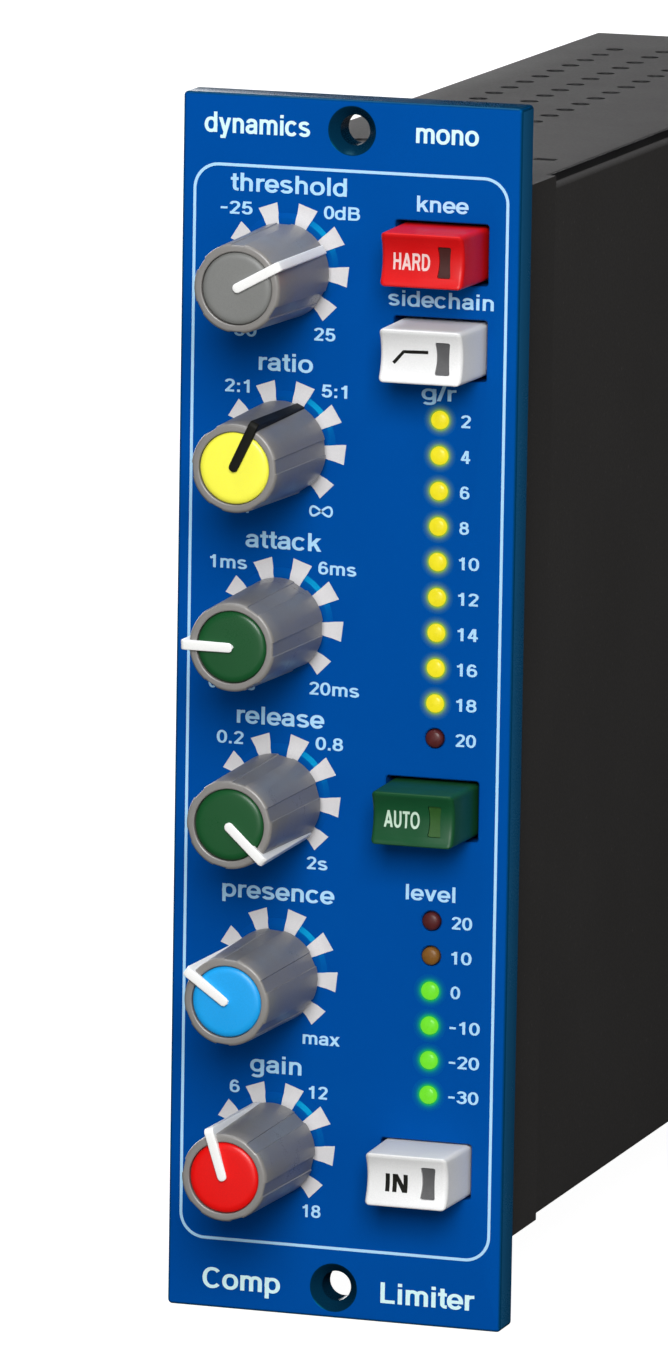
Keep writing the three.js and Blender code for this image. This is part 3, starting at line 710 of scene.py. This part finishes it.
def stroke_outline(stroke, pen, flat):
    """Quads along the stroke: pen is half the width of uprights, flat that of level strokes."""
    level, closed = stroke[0] == "/", stroke[0] == "o"
    line = stroke_points(stroke[1:] if level or closed else stroke)
    if closed:
        line = line[:-1]
    count = len(line)
    sides = []
    for i, (x, z) in enumerate(line):
        if level:
            (x0, z0), (x1, z1) = line[0], line[-1]
            wide = pen * math.dist((x0, z0), (x1, z1)) / abs(z1 - z0)
            sides.append(((x - wide, z), (x + wide, z)))
            continue
        before = line[i - 1] if i or closed else line[i]
        after = line[(i + 1) % count] if i < count - 1 or closed else line[i]
        spans = [(a, b) for a, b in ((before, (x, z)), ((x, z), after)) if math.dist(a, b) > 1e-9]
        normals = [left_of(a, b) for a, b in spans]
        mitre = sum(normals, Vector((0, 0))) / len(normals)
        mitre = mitre / max(mitre.length_squared, 0.3)
        off = (mitre.x * pen, mitre.y * flat)
        sides.append(((x - off[0], z - off[1]), (x + off[0], z + off[1])))
    pairs = list(zip(sides, sides[1:])) + ([(sides[-1], sides[0])] if closed else [])
    quads = [(a[0], b[0], b[1], a[1]) for a, b in pairs]
    return [quad if signed_area(quad) > 0 else quad[::-1] for quad in quads]


def left_of(a, b):
    """The unit vector to the left of the way from a to b."""
    way = (Vector(b) - Vector(a)).normalized()
    return Vector((-way.y, way.x))


def left_at(line, i):
    """The same at point i of an open line, from its neighbours."""
    return left_of(line[max(i - 1, 0)], line[min(i + 1, len(line) - 1)])


def signed_area(outline):
    around = zip(outline, outline[1:] + outline[:1])
    return sum(a[0] * b[1] - b[0] * a[1] for a, b in around) / 2


def solid_text(body, left, right, base, height, pen=0.68, flat=0.56, cuts=()):
    """Letters as a solid of (x, z, raised) points, from left to right, capitals height high."""
    quads, at = [], 0.0
    for sign in body:
        advance, *strokes = ALPHABET[sign]
        for stroke in strokes:
            quads += [[(x + at, z) for x, z in quad] for quad in stroke_outline(stroke, pen, flat)]
        at += advance
    low = min(x for quad in quads for x, _ in quad)
    high = max(x for quad in quads for x, _ in quad)
    sx, sz = (right - left) / (high - low), height / 7.2
    corners = [Vector((left + (x - low) * sx, base + z * sz)) for quad in quads for x, z in quad]
    faces = [tuple(range(4 * i, 4 * i + 4)) for i in range(len(quads))]
    edges = []
    for level in cuts:
        edges.append((len(corners), len(corners) + 1))
        corners += [Vector((left - 1, level)), Vector((right + 1, level))]
    flat_points, _, triangles, _, _, owners = delaunay_2d_cdt(corners, edges, faces, 0, 1e-5)
    triangles = [t for t, owner in zip(triangles, owners) if owner]
    return raise_sheet(flat_points, triangles)


def raise_sheet(flat_points, triangles):
    """The flat triangles as a closed sheet: a lower side, a raised side and walls between them."""
    used = sorted({i for t in triangles for i in t})
    index = {old: new for new, old in enumerate(used)}
    count = len(used)
    points = [(*flat_points[i], raised) for raised in (False, True) for i in used]
    triangles = [tuple(index[i] for i in t) for t in triangles]
    directed = {(t[k], t[(k + 1) % 3]) for t in triangles for k in range(3)}
    faces = [tuple(count + i for i in t) for t in triangles] + [t[::-1] for t in triangles]
    faces += [(a, b, count + b, count + a) for a, b in directed if (b, a) not in directed]
    return points, faces


def printed(text, left, right, base, height, pen=0.68):
    points, faces = solid_text(text, left, right, base, height, pen)
    return [on_panel(x, z, PRINT if raised else 0.0) for x, z, raised in points], faces


NAME_H, COLUMN_H, DIGIT_H = 1.95, 1.7, 1.42
DIGITS_W = {1: 1.08, 2: 2.3, 3: 3.42}
DIAL_WORDS = [
    ("threshold", -13.56, -0.44, 56.2), ("ratio", -10.1, -3.97, 36.94),
    ("attack", -11.3, -2.7, 17.6), ("release", -12.0, -2.06, -1.7),
    ("presence", -13.4, -0.6, -20.9), ("gain", -9.9, -4.03, -40.06),
]
TITLES = [
    ("dynamics", -16.6, -4.7, 62.4, 2.2), ("mono", 7.2, 14.2, 62.4, 2.2),
    ("Comp", -15.0, -6.1, -64.5, 2.3), ("Limiter", 5.4, 16.06, -64.5, 2.3),
]
COLUMN_WORDS = [
    ("knee", 7.4, 13.2, 55.06), ("sidechain", 4.4, 16.2, 44.8), ("g/r", 8.3, 12.2, 34.8),
    ("level", 7.5, 13.1, -19.7),
]
SCALE_MARKS = [
    ("-25", -14.66, -11.06, 53.68), ("0dB", -3.0, 1.06, 53.68),
    ("25", -3.9, -1.5, 40.5), ("-50", -13.9, -10.4, 40.5),
    ("2:1", -13.9, -11.1, 34.4), ("5:1", -2.94, -0.06, 34.4), ("1:1", -13.4, -11.0, 21.3),
    ("1ms", -15.3, -11.1, 15.15), ("6ms", -3.0, 1.3, 15.15),
    ("20ms", -3.8, 1.84, 1.97), ("0.2ms", -15.3, -10.0, 1.97),
    ("0.2", -14.25, -11.2, -4.03), ("0.8", -3.0, 0.12, -4.03),
    ("2s", -3.8, -1.44, -17.2), ("0.05", -14.6, -10.6, -17.2),
    ("max", -3.94, 0.28, -36.5), ("min", -13.9, -10.7, -36.5),
    ("6", -12.2, -11.06, -42.5), ("12", -3.16, -1.0, -42.5),
    ("18", -3.66, -1.6, -55.7), ("0", -12.3, -11.1, -55.7),
]


def legends():
    parts = [printed(*word, NAME_H) for word in DIAL_WORDS]
    parts += [printed(*word, COLUMN_H, 0.66) for word in COLUMN_WORDS]
    parts += [printed(*mark, DIGIT_H) for mark in SCALE_MARKS]
    for i, z in enumerate(GAIN_LAMPS):
        text = str(2 * (i + 1))
        parts.append(printed(text, 12.8, 12.8 + DIGITS_W[len(text)], z - 0.7, 1.4))
    for text, z in zip(("20", "10", "0", "-10", "-20", "-30"), LEVEL_LAMPS):
        left = 12.7 if text[0] == "-" else 12.75
        parts.append(printed(text, left, left + DIGITS_W[len(text)], z - 0.7, 1.4))
    make("panel_legends", parts + [infinity_sign()], "print", HOUSING, "panel_paint")
    titles = [printed(*title, 0.74) for title in TITLES]
    make("panel_titles", titles, "title", HOUSING, "panel_paint")


def infinity_sign():
    """The sign at the end of the ratio dial, a ribbon along a figure of eight."""
    cx, cz, half, high, pen = -2.8, 22.0, 1.22, 0.5, 0.2
    rings = []
    for k in range(64):
        t = 2 * math.pi * k / 64
        centre = Vector((cx + half * math.cos(t), cz + high * math.sin(2 * t)))
        tangent = Vector((-half * math.sin(t), 2 * high * math.cos(2 * t))).normalized()
        across = Vector((-tangent.y, tangent.x)) * (pen / 2 + 0.02)
        rings.append(ribbon_ring(centre, across))
    return hoop(rings)


# ---- knobs
def knob_angles():
    """Angles round the knob in degrees, with extra steps at the flutes. The pointer is at 0."""
    flutes = [60.0 * k for k in range(1, 6)]
    steps = [step * FLUTE_HALF_ANGLE for step in (-1.0, -0.5, 0.0, 0.5, 1.0)]
    steps += [-FLUTE_HALF_ANGLE - 0.7, FLUTE_HALF_ANGLE + 0.7]
    angles = {centre + step for centre in flutes for step in steps}
    for k in range(96):
        if min(turn_between(3.75 * k, centre) for centre in flutes) > FLUTE_HALF_ANGLE + 1.6:
            angles.add(3.75 * k)
    return sorted(angles)


def turn_between(a, b):
    """The smaller angle between two directions, in degrees."""
    return abs((a - b + 180) % 360 - 180)


def flute_cut(angle, radius):
    """How far the surface is cut in at this angle: the flutes have flat floors."""
    best = 0.0
    for k in range(1, 6):
        off = turn_between(angle, 60.0 * k)
        if off <= FLUTE_HALF_ANGLE + 1e-6:
            best = radius - (radius - FLUTE_DEPTH) / math.cos(math.radians(off))
    return max(best, 0.0)


def knob_part():
    """The knob's body, from (radius, y, how far fluted) rings: rear, side, rim, face and recess."""
    bore, foot = KNOB_BACK_RADII
    profile = [(bore, KNOB_REAR, 0.0), (foot, KNOB_REAR, 0.6)]
    taper = (KNOB_FRONT_R - KNOB_BASE_R) / (KNOB_REAR - KNOB_FACE)
    first, last = SKIRT_END, KNOB_FACE + KNOB_RIM
    for k in range(7):
        y = first + (last - first) * k / 6
        profile.append((KNOB_BASE_R + taper * (KNOB_REAR - y), y, 1.0))
    for k in range(1, 7):
        a = math.pi / 2 * k / 6
        radius = KNOB_FRONT_R - KNOB_RIM * (1 - math.cos(a))
        profile.append((radius, KNOB_FACE + KNOB_RIM * (1 - math.sin(a)), 1.0 - k / 6))
    recess = ((4.04, 0.0), (3.97, 0.03), (RECESS_R, 0.09), (RECESS_R, 0.9))
    profile += [(radius, KNOB_FACE + depth, 0.0) for radius, depth in recess]
    rings = []
    for radius, y, fluted in profile:
        ring = []
        for angle in knob_angles():
            r = radius - fluted * flute_cut(angle, radius)
            a = math.radians(angle)
            ring.append(point(r * math.sin(a), y, r * math.cos(a)))
        rings.append(ring)
    return loft(rings)


def cap_part():
    """A low crowned disc with a rounded rim, from (radius, rise) rings."""
    profile = [(r, 0.02 * (1 - (r / 3.5) ** 2)) for r in (1.2, 2.2, 3.0)]
    for k in range(9):
        a = math.pi / 2 * k / 8
        profile.append((CAP_R - CAP_ROUND * (1 - math.sin(a)), -CAP_RIM * (1 - math.cos(a))))
    profile.append((CAP_R, -0.9))
    return along_y([(circle(r, steps=96), KNOB_FACE - 0.03 - rise) for r, rise in profile])


def pointer_outline():
    """Side view in (radius, y): the outer line from tip to base, and the line back inside."""
    top, tip, bend = KNOB_FACE - POINTER_T, POINTER_TIP, POINTER_BEND
    outer = [(tip, top + 0.14), (tip + 0.03, top + 0.05), (tip + 0.1, top)]
    outer += [(tip + d, top) for d in (0.2, 0.35, 0.53, 1.5, 3.0, 4.4)]
    cx, cy = POINTER_FRONT_R - bend, top + bend
    for k in range(7):
        a = math.pi / 2 * k / 6
        outer.append((cx + bend * math.sin(a), cy - bend * math.cos(a)))
    for k in range(1, 7):
        f = k / 6
        y = cy + (SKIRT_END - cy) * f
        outer.append((POINTER_FRONT_R + (POINTER_BASE_R - POINTER_FRONT_R) * f, y))
    inner = [(4.6, SKIRT_END), (4.3, KNOB_FACE + 0.6), (4.3, KNOB_FACE + 0.08)]
    inner += [(tip + d, KNOB_FACE + 0.08) for d in (4.4, 3.0, 1.5, 0.53, 0.35, 0.2, 0.1, 0.0)]
    return outer, inner


def pointer_part():
    outer, inner = pointer_outline()
    tip = outer[0][0]

    def half_width(radius, inset):
        """Half the line's width at this radius: its tip is round."""
        full = POINTER_HALF_W
        d = min(max(radius - tip, 0.0), full)
        half = math.sqrt(max(full * full - (full - d) ** 2, 1e-6)) if d < full else full
        return max(half - inset, 0.01)

    rings = []
    edge = 0.13
    for side in (-1, 1):
        for drop, inset in round_over(edge, 4)[::-side]:
            ring = []
            for i, (r, y) in enumerate(outer):
                lowered = Vector((r, y)) + left_at(outer, i) * drop
                ring.append(point(side * half_width(r, inset), lowered.y, lowered.x))
            ring += [point(side * half_width(r, inset), y, r) for r, y in inner]
            rings.append(ring)
    return loft(rings)


def knobs():
    for i, (name, angle, cap, pointer) in enumerate(KNOBS):
        z = KNOB_TOP_Z - i * KNOB_PITCH
        body = f"{name}_knob"
        pieces = (
            ("skirt", knob_part(), "knob_plastic", f"knob_{name}", 22.0),
            ("cap", cap_part(), cap, f"knob_cap_{name}", 32.0),
            ("line", pointer_part(), pointer, f"knob_pointer_{name}", 40.0),
        )
        for kind, part, look, stands_for, crease in pieces:
            placed = [turned(part, angle, KNOB_X, z)]
            make(f"knob_{name}_{kind}", placed, look, body, look, (stands_for,), crease)


# ---- push buttons
def scoop_y(z):
    """How far behind its front edges the button's hollow front lies at height z."""
    half = BUTTON_H / 2
    radius = (half * half + SCOOP * SCOOP) / (2 * SCOOP)
    z = min(abs(z), half)
    return SCOOP - radius + math.sqrt(radius * radius - z * z)


def button_mesh(x, z):
    """A drafted block whose hollow front runs across the width between rounded edges."""
    corner, fillet = 0.55, 0.5

    def dense(outline, pieces=10):
        """Splits the outline's long sides so that the scooped front follows its curve."""
        out = []
        for a, b in zip(outline, outline[1:] + outline[:1]):
            out.append(a)
            if math.dist(a, b) > 0.8:
                steps = [k / pieces for k in range(1, pieces)]
                out += [(a[0] + (b[0] - a[0]) * t, a[1] + (b[1] - a[1]) * t) for t in steps]
        return out

    rear = dense(rounded_rect(BUTTON_W + 2 * BUTTON_DRAFT, BUTTON_H, corner, steps=5))
    rings = [[point(x + px, BUTTON_REAR, z + pz) for px, pz in rear]]
    for inset, depth in reversed(round_over(fillet, 4)):
        width, height = BUTTON_W - 2 * inset, BUTTON_H - 2 * inset
        flat = dense(rounded_rect(width, height, corner - inset * 0.9, steps=5))
        rings.append([point(x + px, BUTTON_FACE + depth + scoop_y(pz), z + pz) for px, pz in flat])
    points, faces = loft(rings, cap_last=False)
    # The hollow front is joined through straight rows across the width.
    start = (len(rings) - 1) * len(flat)
    rows = {}
    for i, (px, pz) in enumerate(flat):
        rows.setdefault(round(pz, 6), []).append((px, start + i))
    rows = [[i for _, i in sorted(rows[height])] for height in sorted(rows)]
    faces += [tuple(low + high[::-1]) for low, high in zip(rows, rows[1:])]
    return mesh_of([(points, faces)])


def window_outline(x, z, half_w, half_h, steps=16):
    """The light window: a little narrower at its middle than at its ends, with rounded corners."""
    waist, corner = 0.17, 0.24
    right = []
    for k in range(steps + 1):
        t = -math.cos(math.pi * k / steps)
        into = max(0.0, abs(t) * half_h - (half_h - corner))
        round_end = corner - math.sqrt(max(corner * corner - into * into, 0.0))
        right.append((x + half_w - waist * (1 - t * t) - round_end, z + half_h * t))
    left = [(2 * x - px, pz) for px, pz in reversed(right)]
    return right + left


def on_scoop(px, pz, z, lift):
    """A point lift millimetres in front of the hollow front of the button at height z."""
    return point(px, BUTTON_FACE + scoop_y(pz - z) - lift, pz)


def buttons():
    for name, z, look, window in BUTTONS:
        body = f"{name}_button"
        shape = button_mesh(BUTTON_X, z)
        half_w, half_h = LARGE_WINDOW if window == "window_pale" else SMALL_WINDOW
        hole = window_outline(BUTTON_X + WINDOW_X, z + WINDOW_Z, half_w, half_h)
        cutter = loft([
            [point(px, BUTTON_FACE - 1.0, pz) for px, pz in hole],
            [on_scoop(px, pz, z, -0.45) for px, pz in hole],
        ])
        cut = combine(shape, mesh_of([cutter]), "DIFFERENCE")
        finish_piece(f"button_{name}_cap", cut, look, body, look, (f"button_{name}",), 30.0)
        small = window_outline(BUTTON_X + WINDOW_X, z + WINDOW_Z, half_w - 0.04, half_h - 0.04)
        lens = loft([
            [on_scoop(px, pz, z, -0.6) for px, pz in small],
            [on_scoop(px, pz, z, -0.17) for px, pz in small],
        ], cap_last=False)
        count = len(small)
        rows = [(count + i, 2 * count - 1 - i) for i in range(count // 2)]
        faces = lens[1] + [(a, b, d, c) for (a, b), (c, d) in zip(rows, rows[1:])]
        stands_for = (f"button_window_{name}",)
        make(f"button_{name}_window", [(lens[0], faces)], window, body, window, stands_for, 30.0)
    for word in BUTTON_WORDS:
        button_word(*word)
    slope_sign()


def button_word(button, text, left, right, base, height, pen, look):
    z = dict((name, z) for name, z, _, _ in BUTTONS)[button]
    cuts = [base + height * k / 6 for k in range(1, 6)]
    points, faces = solid_text(text, left, right, base, height, pen, 0.6, cuts)
    placed = [on_scoop(x, pz, z, BUTTON_PRINT[raised]) for x, pz, raised in points]
    make(f"button_{button}_word", [(placed, faces)], look, f"{button}_button")


def slope_sign():
    """The filter sign on the sidechain button: a line that climbs and levels out."""
    z = BUTTONS[1][1]
    path = [(7.2, 39.6), (7.75, 40.22), (8.3, 40.85), (9.2, 40.87), (10.2, 40.9), (11.05, 40.92)]
    pen = 0.18

    def place(px, pz, lift):
        return on_scoop(px, pz, z, lift)

    rings = []
    for i, at in enumerate(path):
        rings.append(ribbon_ring(Vector(at), left_at(path, i) * pen, place, BUTTON_PRINT))
    make("button_sidechain_sign", [loft(rings)], "pointer_black", "sidechain_button")


# ---- indicator lamps
def lens_part(z):
    """A round lens with a low domed front."""
    dome = ((0.97, 0.12), (0.88, 0.26), (0.72, 0.36), (0.5, 0.43), (0.25, 0.465), (0.06, 0.475))
    profile = [(LAMP_R, 0.5), (LAMP_R, FRONT - 0.02)]
    profile += [(radius, FRONT - rise) for radius, rise in dome]
    return along_y([(circle(radius, LAMP_X, z, 40), y) for radius, y in profile])


def halo_part(z):
    """A thin flat ring on the panel round a lit lens, which carries the lamp's painted glow."""
    rings = [[point(x, FRONT - 0.004, zz) for x, zz in circle(r, LAMP_X, z, 40)] for r, _ in HALO]
    rings.append([point(x, FRONT + 0.004, zz) for x, zz in circle(HALO[-1][0], LAMP_X, z, 40)])
    rings.append([point(x, FRONT + 0.004, zz) for x, zz in circle(HALO[0][0], LAMP_X, z, 40)])
    return hoop(rings)


def halos(name, heights, look):
    piece = make(name, [halo_part(z) for z in heights], look, HOUSING)
    # spill holds the painted glow's strength at each point, read from HALO.
    spill = piece.data.attributes.new("spill", "FLOAT", "POINT")
    for vert in piece.data.vertices:
        x, z = vert.co.x / MM - LAMP_X, vert.co.z / MM - MOUNT_DROP
        radius = min(math.hypot(x, z - lamp) for lamp in heights)
        level = min(HALO, key=lambda step: abs(step[0] - radius))[1]
        spill.data[vert.index].value = level


def lamps():
    halos("lamps_gain_reduction_spill", GAIN_LAMPS[:9], "halo_yellow")
    halos("lamps_level_spill", LEVEL_LAMPS[2:], "halo_green")
    red, amber = "lamp_dark_red", "lamp_dark_amber"
    columns = (
        ("lamps_gain_reduction", GAIN_LAMPS, "lamp_yellow", (red,), range(9)),
        ("lamps_level", LEVEL_LAMPS, "lamp_green", (red, amber), range(2, 6)),
    )
    for node_name, heights, lit, dark, on in columns:
        parts = [lens_part(heights[i]) for i in on]
        low, high = heights[-1] - 1.4, heights[0] + 1.4
        back = box_part((LAMP_X - 1.2, 1.0, low), (LAMP_X + 1.2, 2.6, high), 0.1)
        make(f"{node_name}_lit", parts, lit, HOUSING, lit, (node_name,))
        make(f"{node_name}_strip", [back], "black_plastic", HOUSING)
        unlit = [i for i in range(len(heights)) if i not in on]
        for look, i in zip(dark, unlit):
            make(f"{node_name}_{look}", [lens_part(heights[i])], look, HOUSING)


# ---- case
def openings(rings):
    """One part of (grown, z) rings at every vent hole and at the slit of the case's top."""
    ring_like = rings[0] == rings[-1]
    outlines = []
    for column in range(3):
        for row in range(VENT_ROWS):
            x, y = VENT_X - column * VENT_PITCH_X, VENT_Y - row * VENT_PITCH_Y
            outlines.append(lambda grown, x=x, y=y: circle(VENT_R + grown, x, y, 28))
    outlines.append(lambda grown: [
        (SLIT_X + sx * (SLIT_HALF_X + grown), SLIT_Y + sy * (SLIT_HALF_Y + grown))
        for sx, sy in CORNERS
    ])
    parts = []
    for outline in outlines:
        placed = [[point(x, y, z) for x, y in outline(grown)] for grown, z in rings]
        parts.append(loft(placed, not ring_like, not ring_like))
    return parts


def painted_hole_shade():
    """A thin black sheet inside the wall of each punched hole and of the slit: painted shade that
    keeps the openings dark.
    """
    low, high, inner = CASE_H - SHEET, CASE_H - 0.03, -0.05
    rings = [(0.0, low), (0.0, high), (inner, high), (inner, low), (0.0, low)]
    make("case_opening_painted_shade", openings(rings), "black_plastic", HOUSING)


def case():
    shell = mesh_of([box_part((-CASE_W, 0.0, -CASE_H), (LIP_X, CASE_REAR, CASE_H), 0.3)])
    strip = mesh_of([box_part((0.0, 0.0, -CASE_H), (CASE_W, STRIP_DEPTH, CASE_H))])
    shell = combine(shell, strip, "UNION")
    inner, right = CASE_H - SHEET, CASE_W - SHEET
    cuts = [
        box_part((-CASE_W + SHEET, 0.8, -inner), (LIP_X - SHEET, CASE_REAR - SHEET, inner)),
        box_part((5.0, 0.8, -inner + 0.01), (right, STRIP_DEPTH - SHEET, inner - 0.01)),
        box_part(
            (LIP_X - 2 * SHEET, STRIP_DEPTH + FLANGE, -CASE_H + FLANGE),
            (CASE_W, CASE_REAR - FLANGE, CASE_H - FLANGE),
        ),
        box_part((-CASE_W + FLANGE, -1.0, -CASE_H + FLANGE), (right, 1.5, CASE_H - FLANGE)),
        box_part((BUTTON_SIDE, -1.0, -inner), (right, 1.5, inner)),
    ]
    for cut in cuts:
        shell = combine(shell, mesh_of([cut]), "DIFFERENCE")
    low = (BOARD_X - SLOT_HALF_W, CASE_REAR - 2, -SLOT_HALF_H)
    slot = box_part(low, (BOARD_X + SLOT_HALF_W, CASE_REAR + 1, SLOT_HALF_H))
    holes = openings([(0.0, CASE_H - 2), (0.0, CASE_H + 1)])
    shell = combine(shell, mesh_of(holes + [slot]), "DIFFERENCE")
    finish_piece("case_shell", shell, "case_paint", HOUSING, "case_paint", ("chassis",), 20.0)


def cover():
    """A flat plate with softly bent upper and lower edges."""

    def section(inset):
        corners = []
        for middle, radius, turn in ((COVER_BOTTOM, 0.5, -90), (COVER_TOP, 0.6, 0)):
            cz = middle + (radius if turn else -radius)
            for k in range(7):
                a = math.radians(turn + 90 * k / 6)
                r = radius - inset
                corners.append((CASE_W - radius + r * math.cos(a), cz + r * math.sin(a)))
        inside = COVER_X + inset
        return corners + [(inside, COVER_TOP - inset), (inside, COVER_BOTTOM + inset)]

    edge = 0.1
    depths = ((0.0, COVER_FRONT), (0.0, COVER_REAR - edge), (edge, COVER_REAR))
    plate = along_y([(section(inset), y) for inset, y in depths])
    make("case_side_cover", [plate], "case_paint", HOUSING, "case_paint", ("side_cover",), 14.0)
    # A thin black strip against the lip's side under the top plate's edge: painted shade along the
    # seam above the cover.
    low = (LIP_X - 0.05, COVER_FRONT + 0.02, 56.0)
    shade_strip = box_part(low, (LIP_X + 0.13, COVER_REAR - 0.1, CASE_H - 0.1), 0.02)
    make("case_cover_painted_shade_strip", [shade_strip], "black_plastic", HOUSING)


def screw_head(centre, outward, radius, height):
    """A pan head with a cross recess, seated at centre and facing outward."""
    crown = ((1, 0), (1, 0.45), (0.93, 0.72), (0.72, 0.93), (0.4, 1))
    profile = [(r * radius, h * height) for r, h in crown] + [(0.05, height)]
    rings = [[Vector((x, z, h)) * MM for x, z in circle(r, steps=40)] for r, h in profile]
    shape = mesh_of([loft(rings)])
    short, long = radius * 0.13, radius * 0.58
    for half_x, half_y in ((short, long), (long, short)):
        bar = loft([
            [Vector((sx * half_x, sy * half_y, h)) * MM for sx, sy in CORNERS]
            for h in (height * 0.35, height * 2)
        ])
        shape = combine(shape, mesh_of([bar]), "DIFFERENCE")
    turn = Vector(outward).to_track_quat("Z", "Y").to_matrix().to_4x4()
    shape.transform(Matrix.Translation(centre) @ turn)
    return shape


def screws():
    for name, side in LEVELS:
        seat = point(-CASE_W + 0.02, STANDOFF_Y, side * STANDOFF_Z)
        head = screw_head(seat, (-1, 0, 0), *STANDOFF_SCREW)
        finish_piece(f"standoff_screw_{name}_head", head, "black_screw", HOUSING, "black_screw")
    for name, side in LEVELS:
        seat = point(CASE_W + 0.02, COVER_SCREW_Y, side * COVER_SCREW_Z)
        head = screw_head(seat, (1, 0, 0), *COVER_SCREW)
        node_name = f"cover_screw_{name}"
        finish_piece(f"{node_name}_head", head, "black_screw", HOUSING, "black_screw", (node_name,))


# ---- boards
def standoffs():
    """Hexagonal pillars between the case's left side and the main board."""
    for name, side in LEVELS:
        rings = []
        for x, radius in STANDOFF_PROFILE:
            hexagon = circle(radius, STANDOFF_Y, side * STANDOFF_Z, 6)
            rings.append([point(x, y, z) for y, z in hexagon])
        make(f"main_board_standoff_{name}", [loft(rings)], "steel_screw", HOUSING, crease=20.0)


def gold_fingers():
    parts = []
    for face in (-1, 1):
        x = BOARD_X + face * BOARD_T / 2
        for k in range(FINGERS):
            z = (k - FINGERS // 2) * FINGER_PITCH
            near, far = sorted((x - face * 0.02, x + face * 0.05))
            low = (near, FINGER_FRONT, z - FINGER_HALF_W)
            parts.append(box_part(low, (far, FINGER_REAR, z + FINGER_HALF_W)))
    make("main_board_fingers", parts, "gold", HOUSING)


def boards():
    left, right = BOARD_X - BOARD_T / 2, BOARD_X + BOARD_T / 2
    tongue = box_part(
        (left, BOARD_REAR - 0.5, -TONGUE_HALF_H), (right, TONGUE_REAR, TONGUE_HALF_H), 0.25
    )
    body = box_part(
        (left, BOARD_FRONT, -BOARD_HALF_H), (right, BOARD_REAR, BOARD_HALF_H), 0.05
    )
    look = "circuit_board"
    make("main_board_sheet", [body, tongue], look, HOUSING, look, ("main_board",))
    gold_fingers()
    standoffs()


def carried_over():
    """The CAD nodes that keep their own shape get their finish from the same table of looks."""
    record = frame["record"]
    slots = {row["node"]: row["material_slot"] for row in record["subparts"]}
    for name, cad in frame["nodes"].items():
        cad.data.materials.clear()
        cad.data.materials.append(looks[slots[name]])


# ---- stage
YAW, PITCH, ROLL = math.radians(17.899), math.radians(9.754), math.radians(0.919)
AIM_X, AIM_Z, DISTANCE = 0.924, -4.274, 1179.616
LENS = 291.84

# Lamps in metres and watts: name, place, size, power, colour and whether it shows in reflections.
MIDDLE = Vector((0.0, 0.02, 0.06))
KEY = MIDDLE + Vector((0.40, -1.3, 0.66)).normalized() * 1.6
WHITE = (1, 1, 1)
LIGHTS = (
    ("key", KEY, (0.7, 0.7), 27.0, WHITE, True),
    ("fill", (0.2, -1.6, -0.05), (1.4, 0.5), 3.9, WHITE, True),
    ("side", (1.55, -0.35, 0.05), (0.8, 0.8), 2.9, WHITE, False),
    ("overhead", (-0.3, -0.15, 1.6), (0.5, 0.5), 13.0, (0.88, 0.92, 1.0), True),
    ("back", (-0.25, 0.85, 1.4), (0.8, 0.8), 5.0, WHITE, False),
    ("rear", (-0.95, 1.3, 0.35), (0.9, 0.9), 11.0, WHITE, True),
)


def camera():
    flat = math.cos(PITCH)
    forward = Vector((-math.sin(YAW) * flat, math.cos(YAW) * flat, -math.sin(PITCH)))
    level = Vector((math.cos(YAW), math.sin(YAW), 0))
    upright = level.cross(forward)
    right = level * math.cos(ROLL) + upright * math.sin(ROLL)
    up = upright * math.cos(ROLL) - level * math.sin(ROLL)
    eye = -(right * AIM_X + up * AIM_Z + forward * DISTANCE)
    data = bpy.data.cameras.new("camera")
    data.lens, data.sensor_width, data.sensor_fit = LENS, 36.0, "AUTO"
    data.clip_start, data.clip_end = 0.1, 20.0
    made = bpy.data.objects.new("camera", data)
    axes = Matrix((right, up, -forward)).transposed().to_4x4()
    made.matrix_world = Matrix.Translation(point(eye.x, eye.y + FRONT, eye.z)) @ axes
    bpy.context.scene.collection.objects.link(made)
    bpy.context.scene.camera = made


def area_light(name, where, size, power, color, glossy):
    """A rectangular lamp aimed at the middle of the part."""
    data = bpy.data.lights.new(name, "AREA")
    data.shape, data.energy, data.color = "RECTANGLE", power, color
    data.size, data.size_y = size
    made = bpy.data.objects.new(name, data)
    made.location = where
    made.rotation_euler = (MIDDLE - Vector(where)).to_track_quat("-Z", "Y").to_euler()
    made.visible_glossy = glossy
    bpy.context.scene.collection.objects.link(made)


def stage():
    scene = bpy.context.scene
    world = scene.world = bpy.data.worlds.new("studio")
    world.use_nodes = True
    background = {"Color": (1.0, 1.0, 1.0, 1.0), "Strength": 0.1}
    feed(world.node_tree, world.node_tree.nodes["Background"], background)
    world.cycles_visibility.glossy = False
    scene.view_settings.view_transform = "Standard"
    scene.view_settings.look = "None"
    mesh = bpy.data.meshes.new("floor")
    low = (-PANEL_H / 2 + MOUNT_DROP - 0.05) * MM
    half = 8.0
    corners = [(sx * half, sy * half, low) for sx, sy in CORNERS]
    mesh.from_pydata(corners, [], [(0, 1, 2, 3)])
    made, tree, shader = new_material("floor_paper")
    feed(tree, shader, {
        "Base Color": (0.25, 0.25, 0.25, 1), "Roughness": 0.9, "Specular IOR Level": 0.0,
        "Emission Color": (1, 1, 1, 1), "Emission Strength": 0.97,
    })
    mesh.materials.append(made)
    floor = bpy.data.objects.new("floor", mesh)
    floor.visible_diffuse = floor.visible_glossy = False
    scene.collection.objects.link(floor)
    for name, where, size, power, color, glossy in LIGHTS:
        area_light(name, where, size, power, color, glossy)


panel()
bosses()
ticks()
frame_line()
legends()
knobs()
buttons()
lamps()
case()
painted_hole_shade()
cover()
screws()
boards()
carried_over()
camera()
stage()
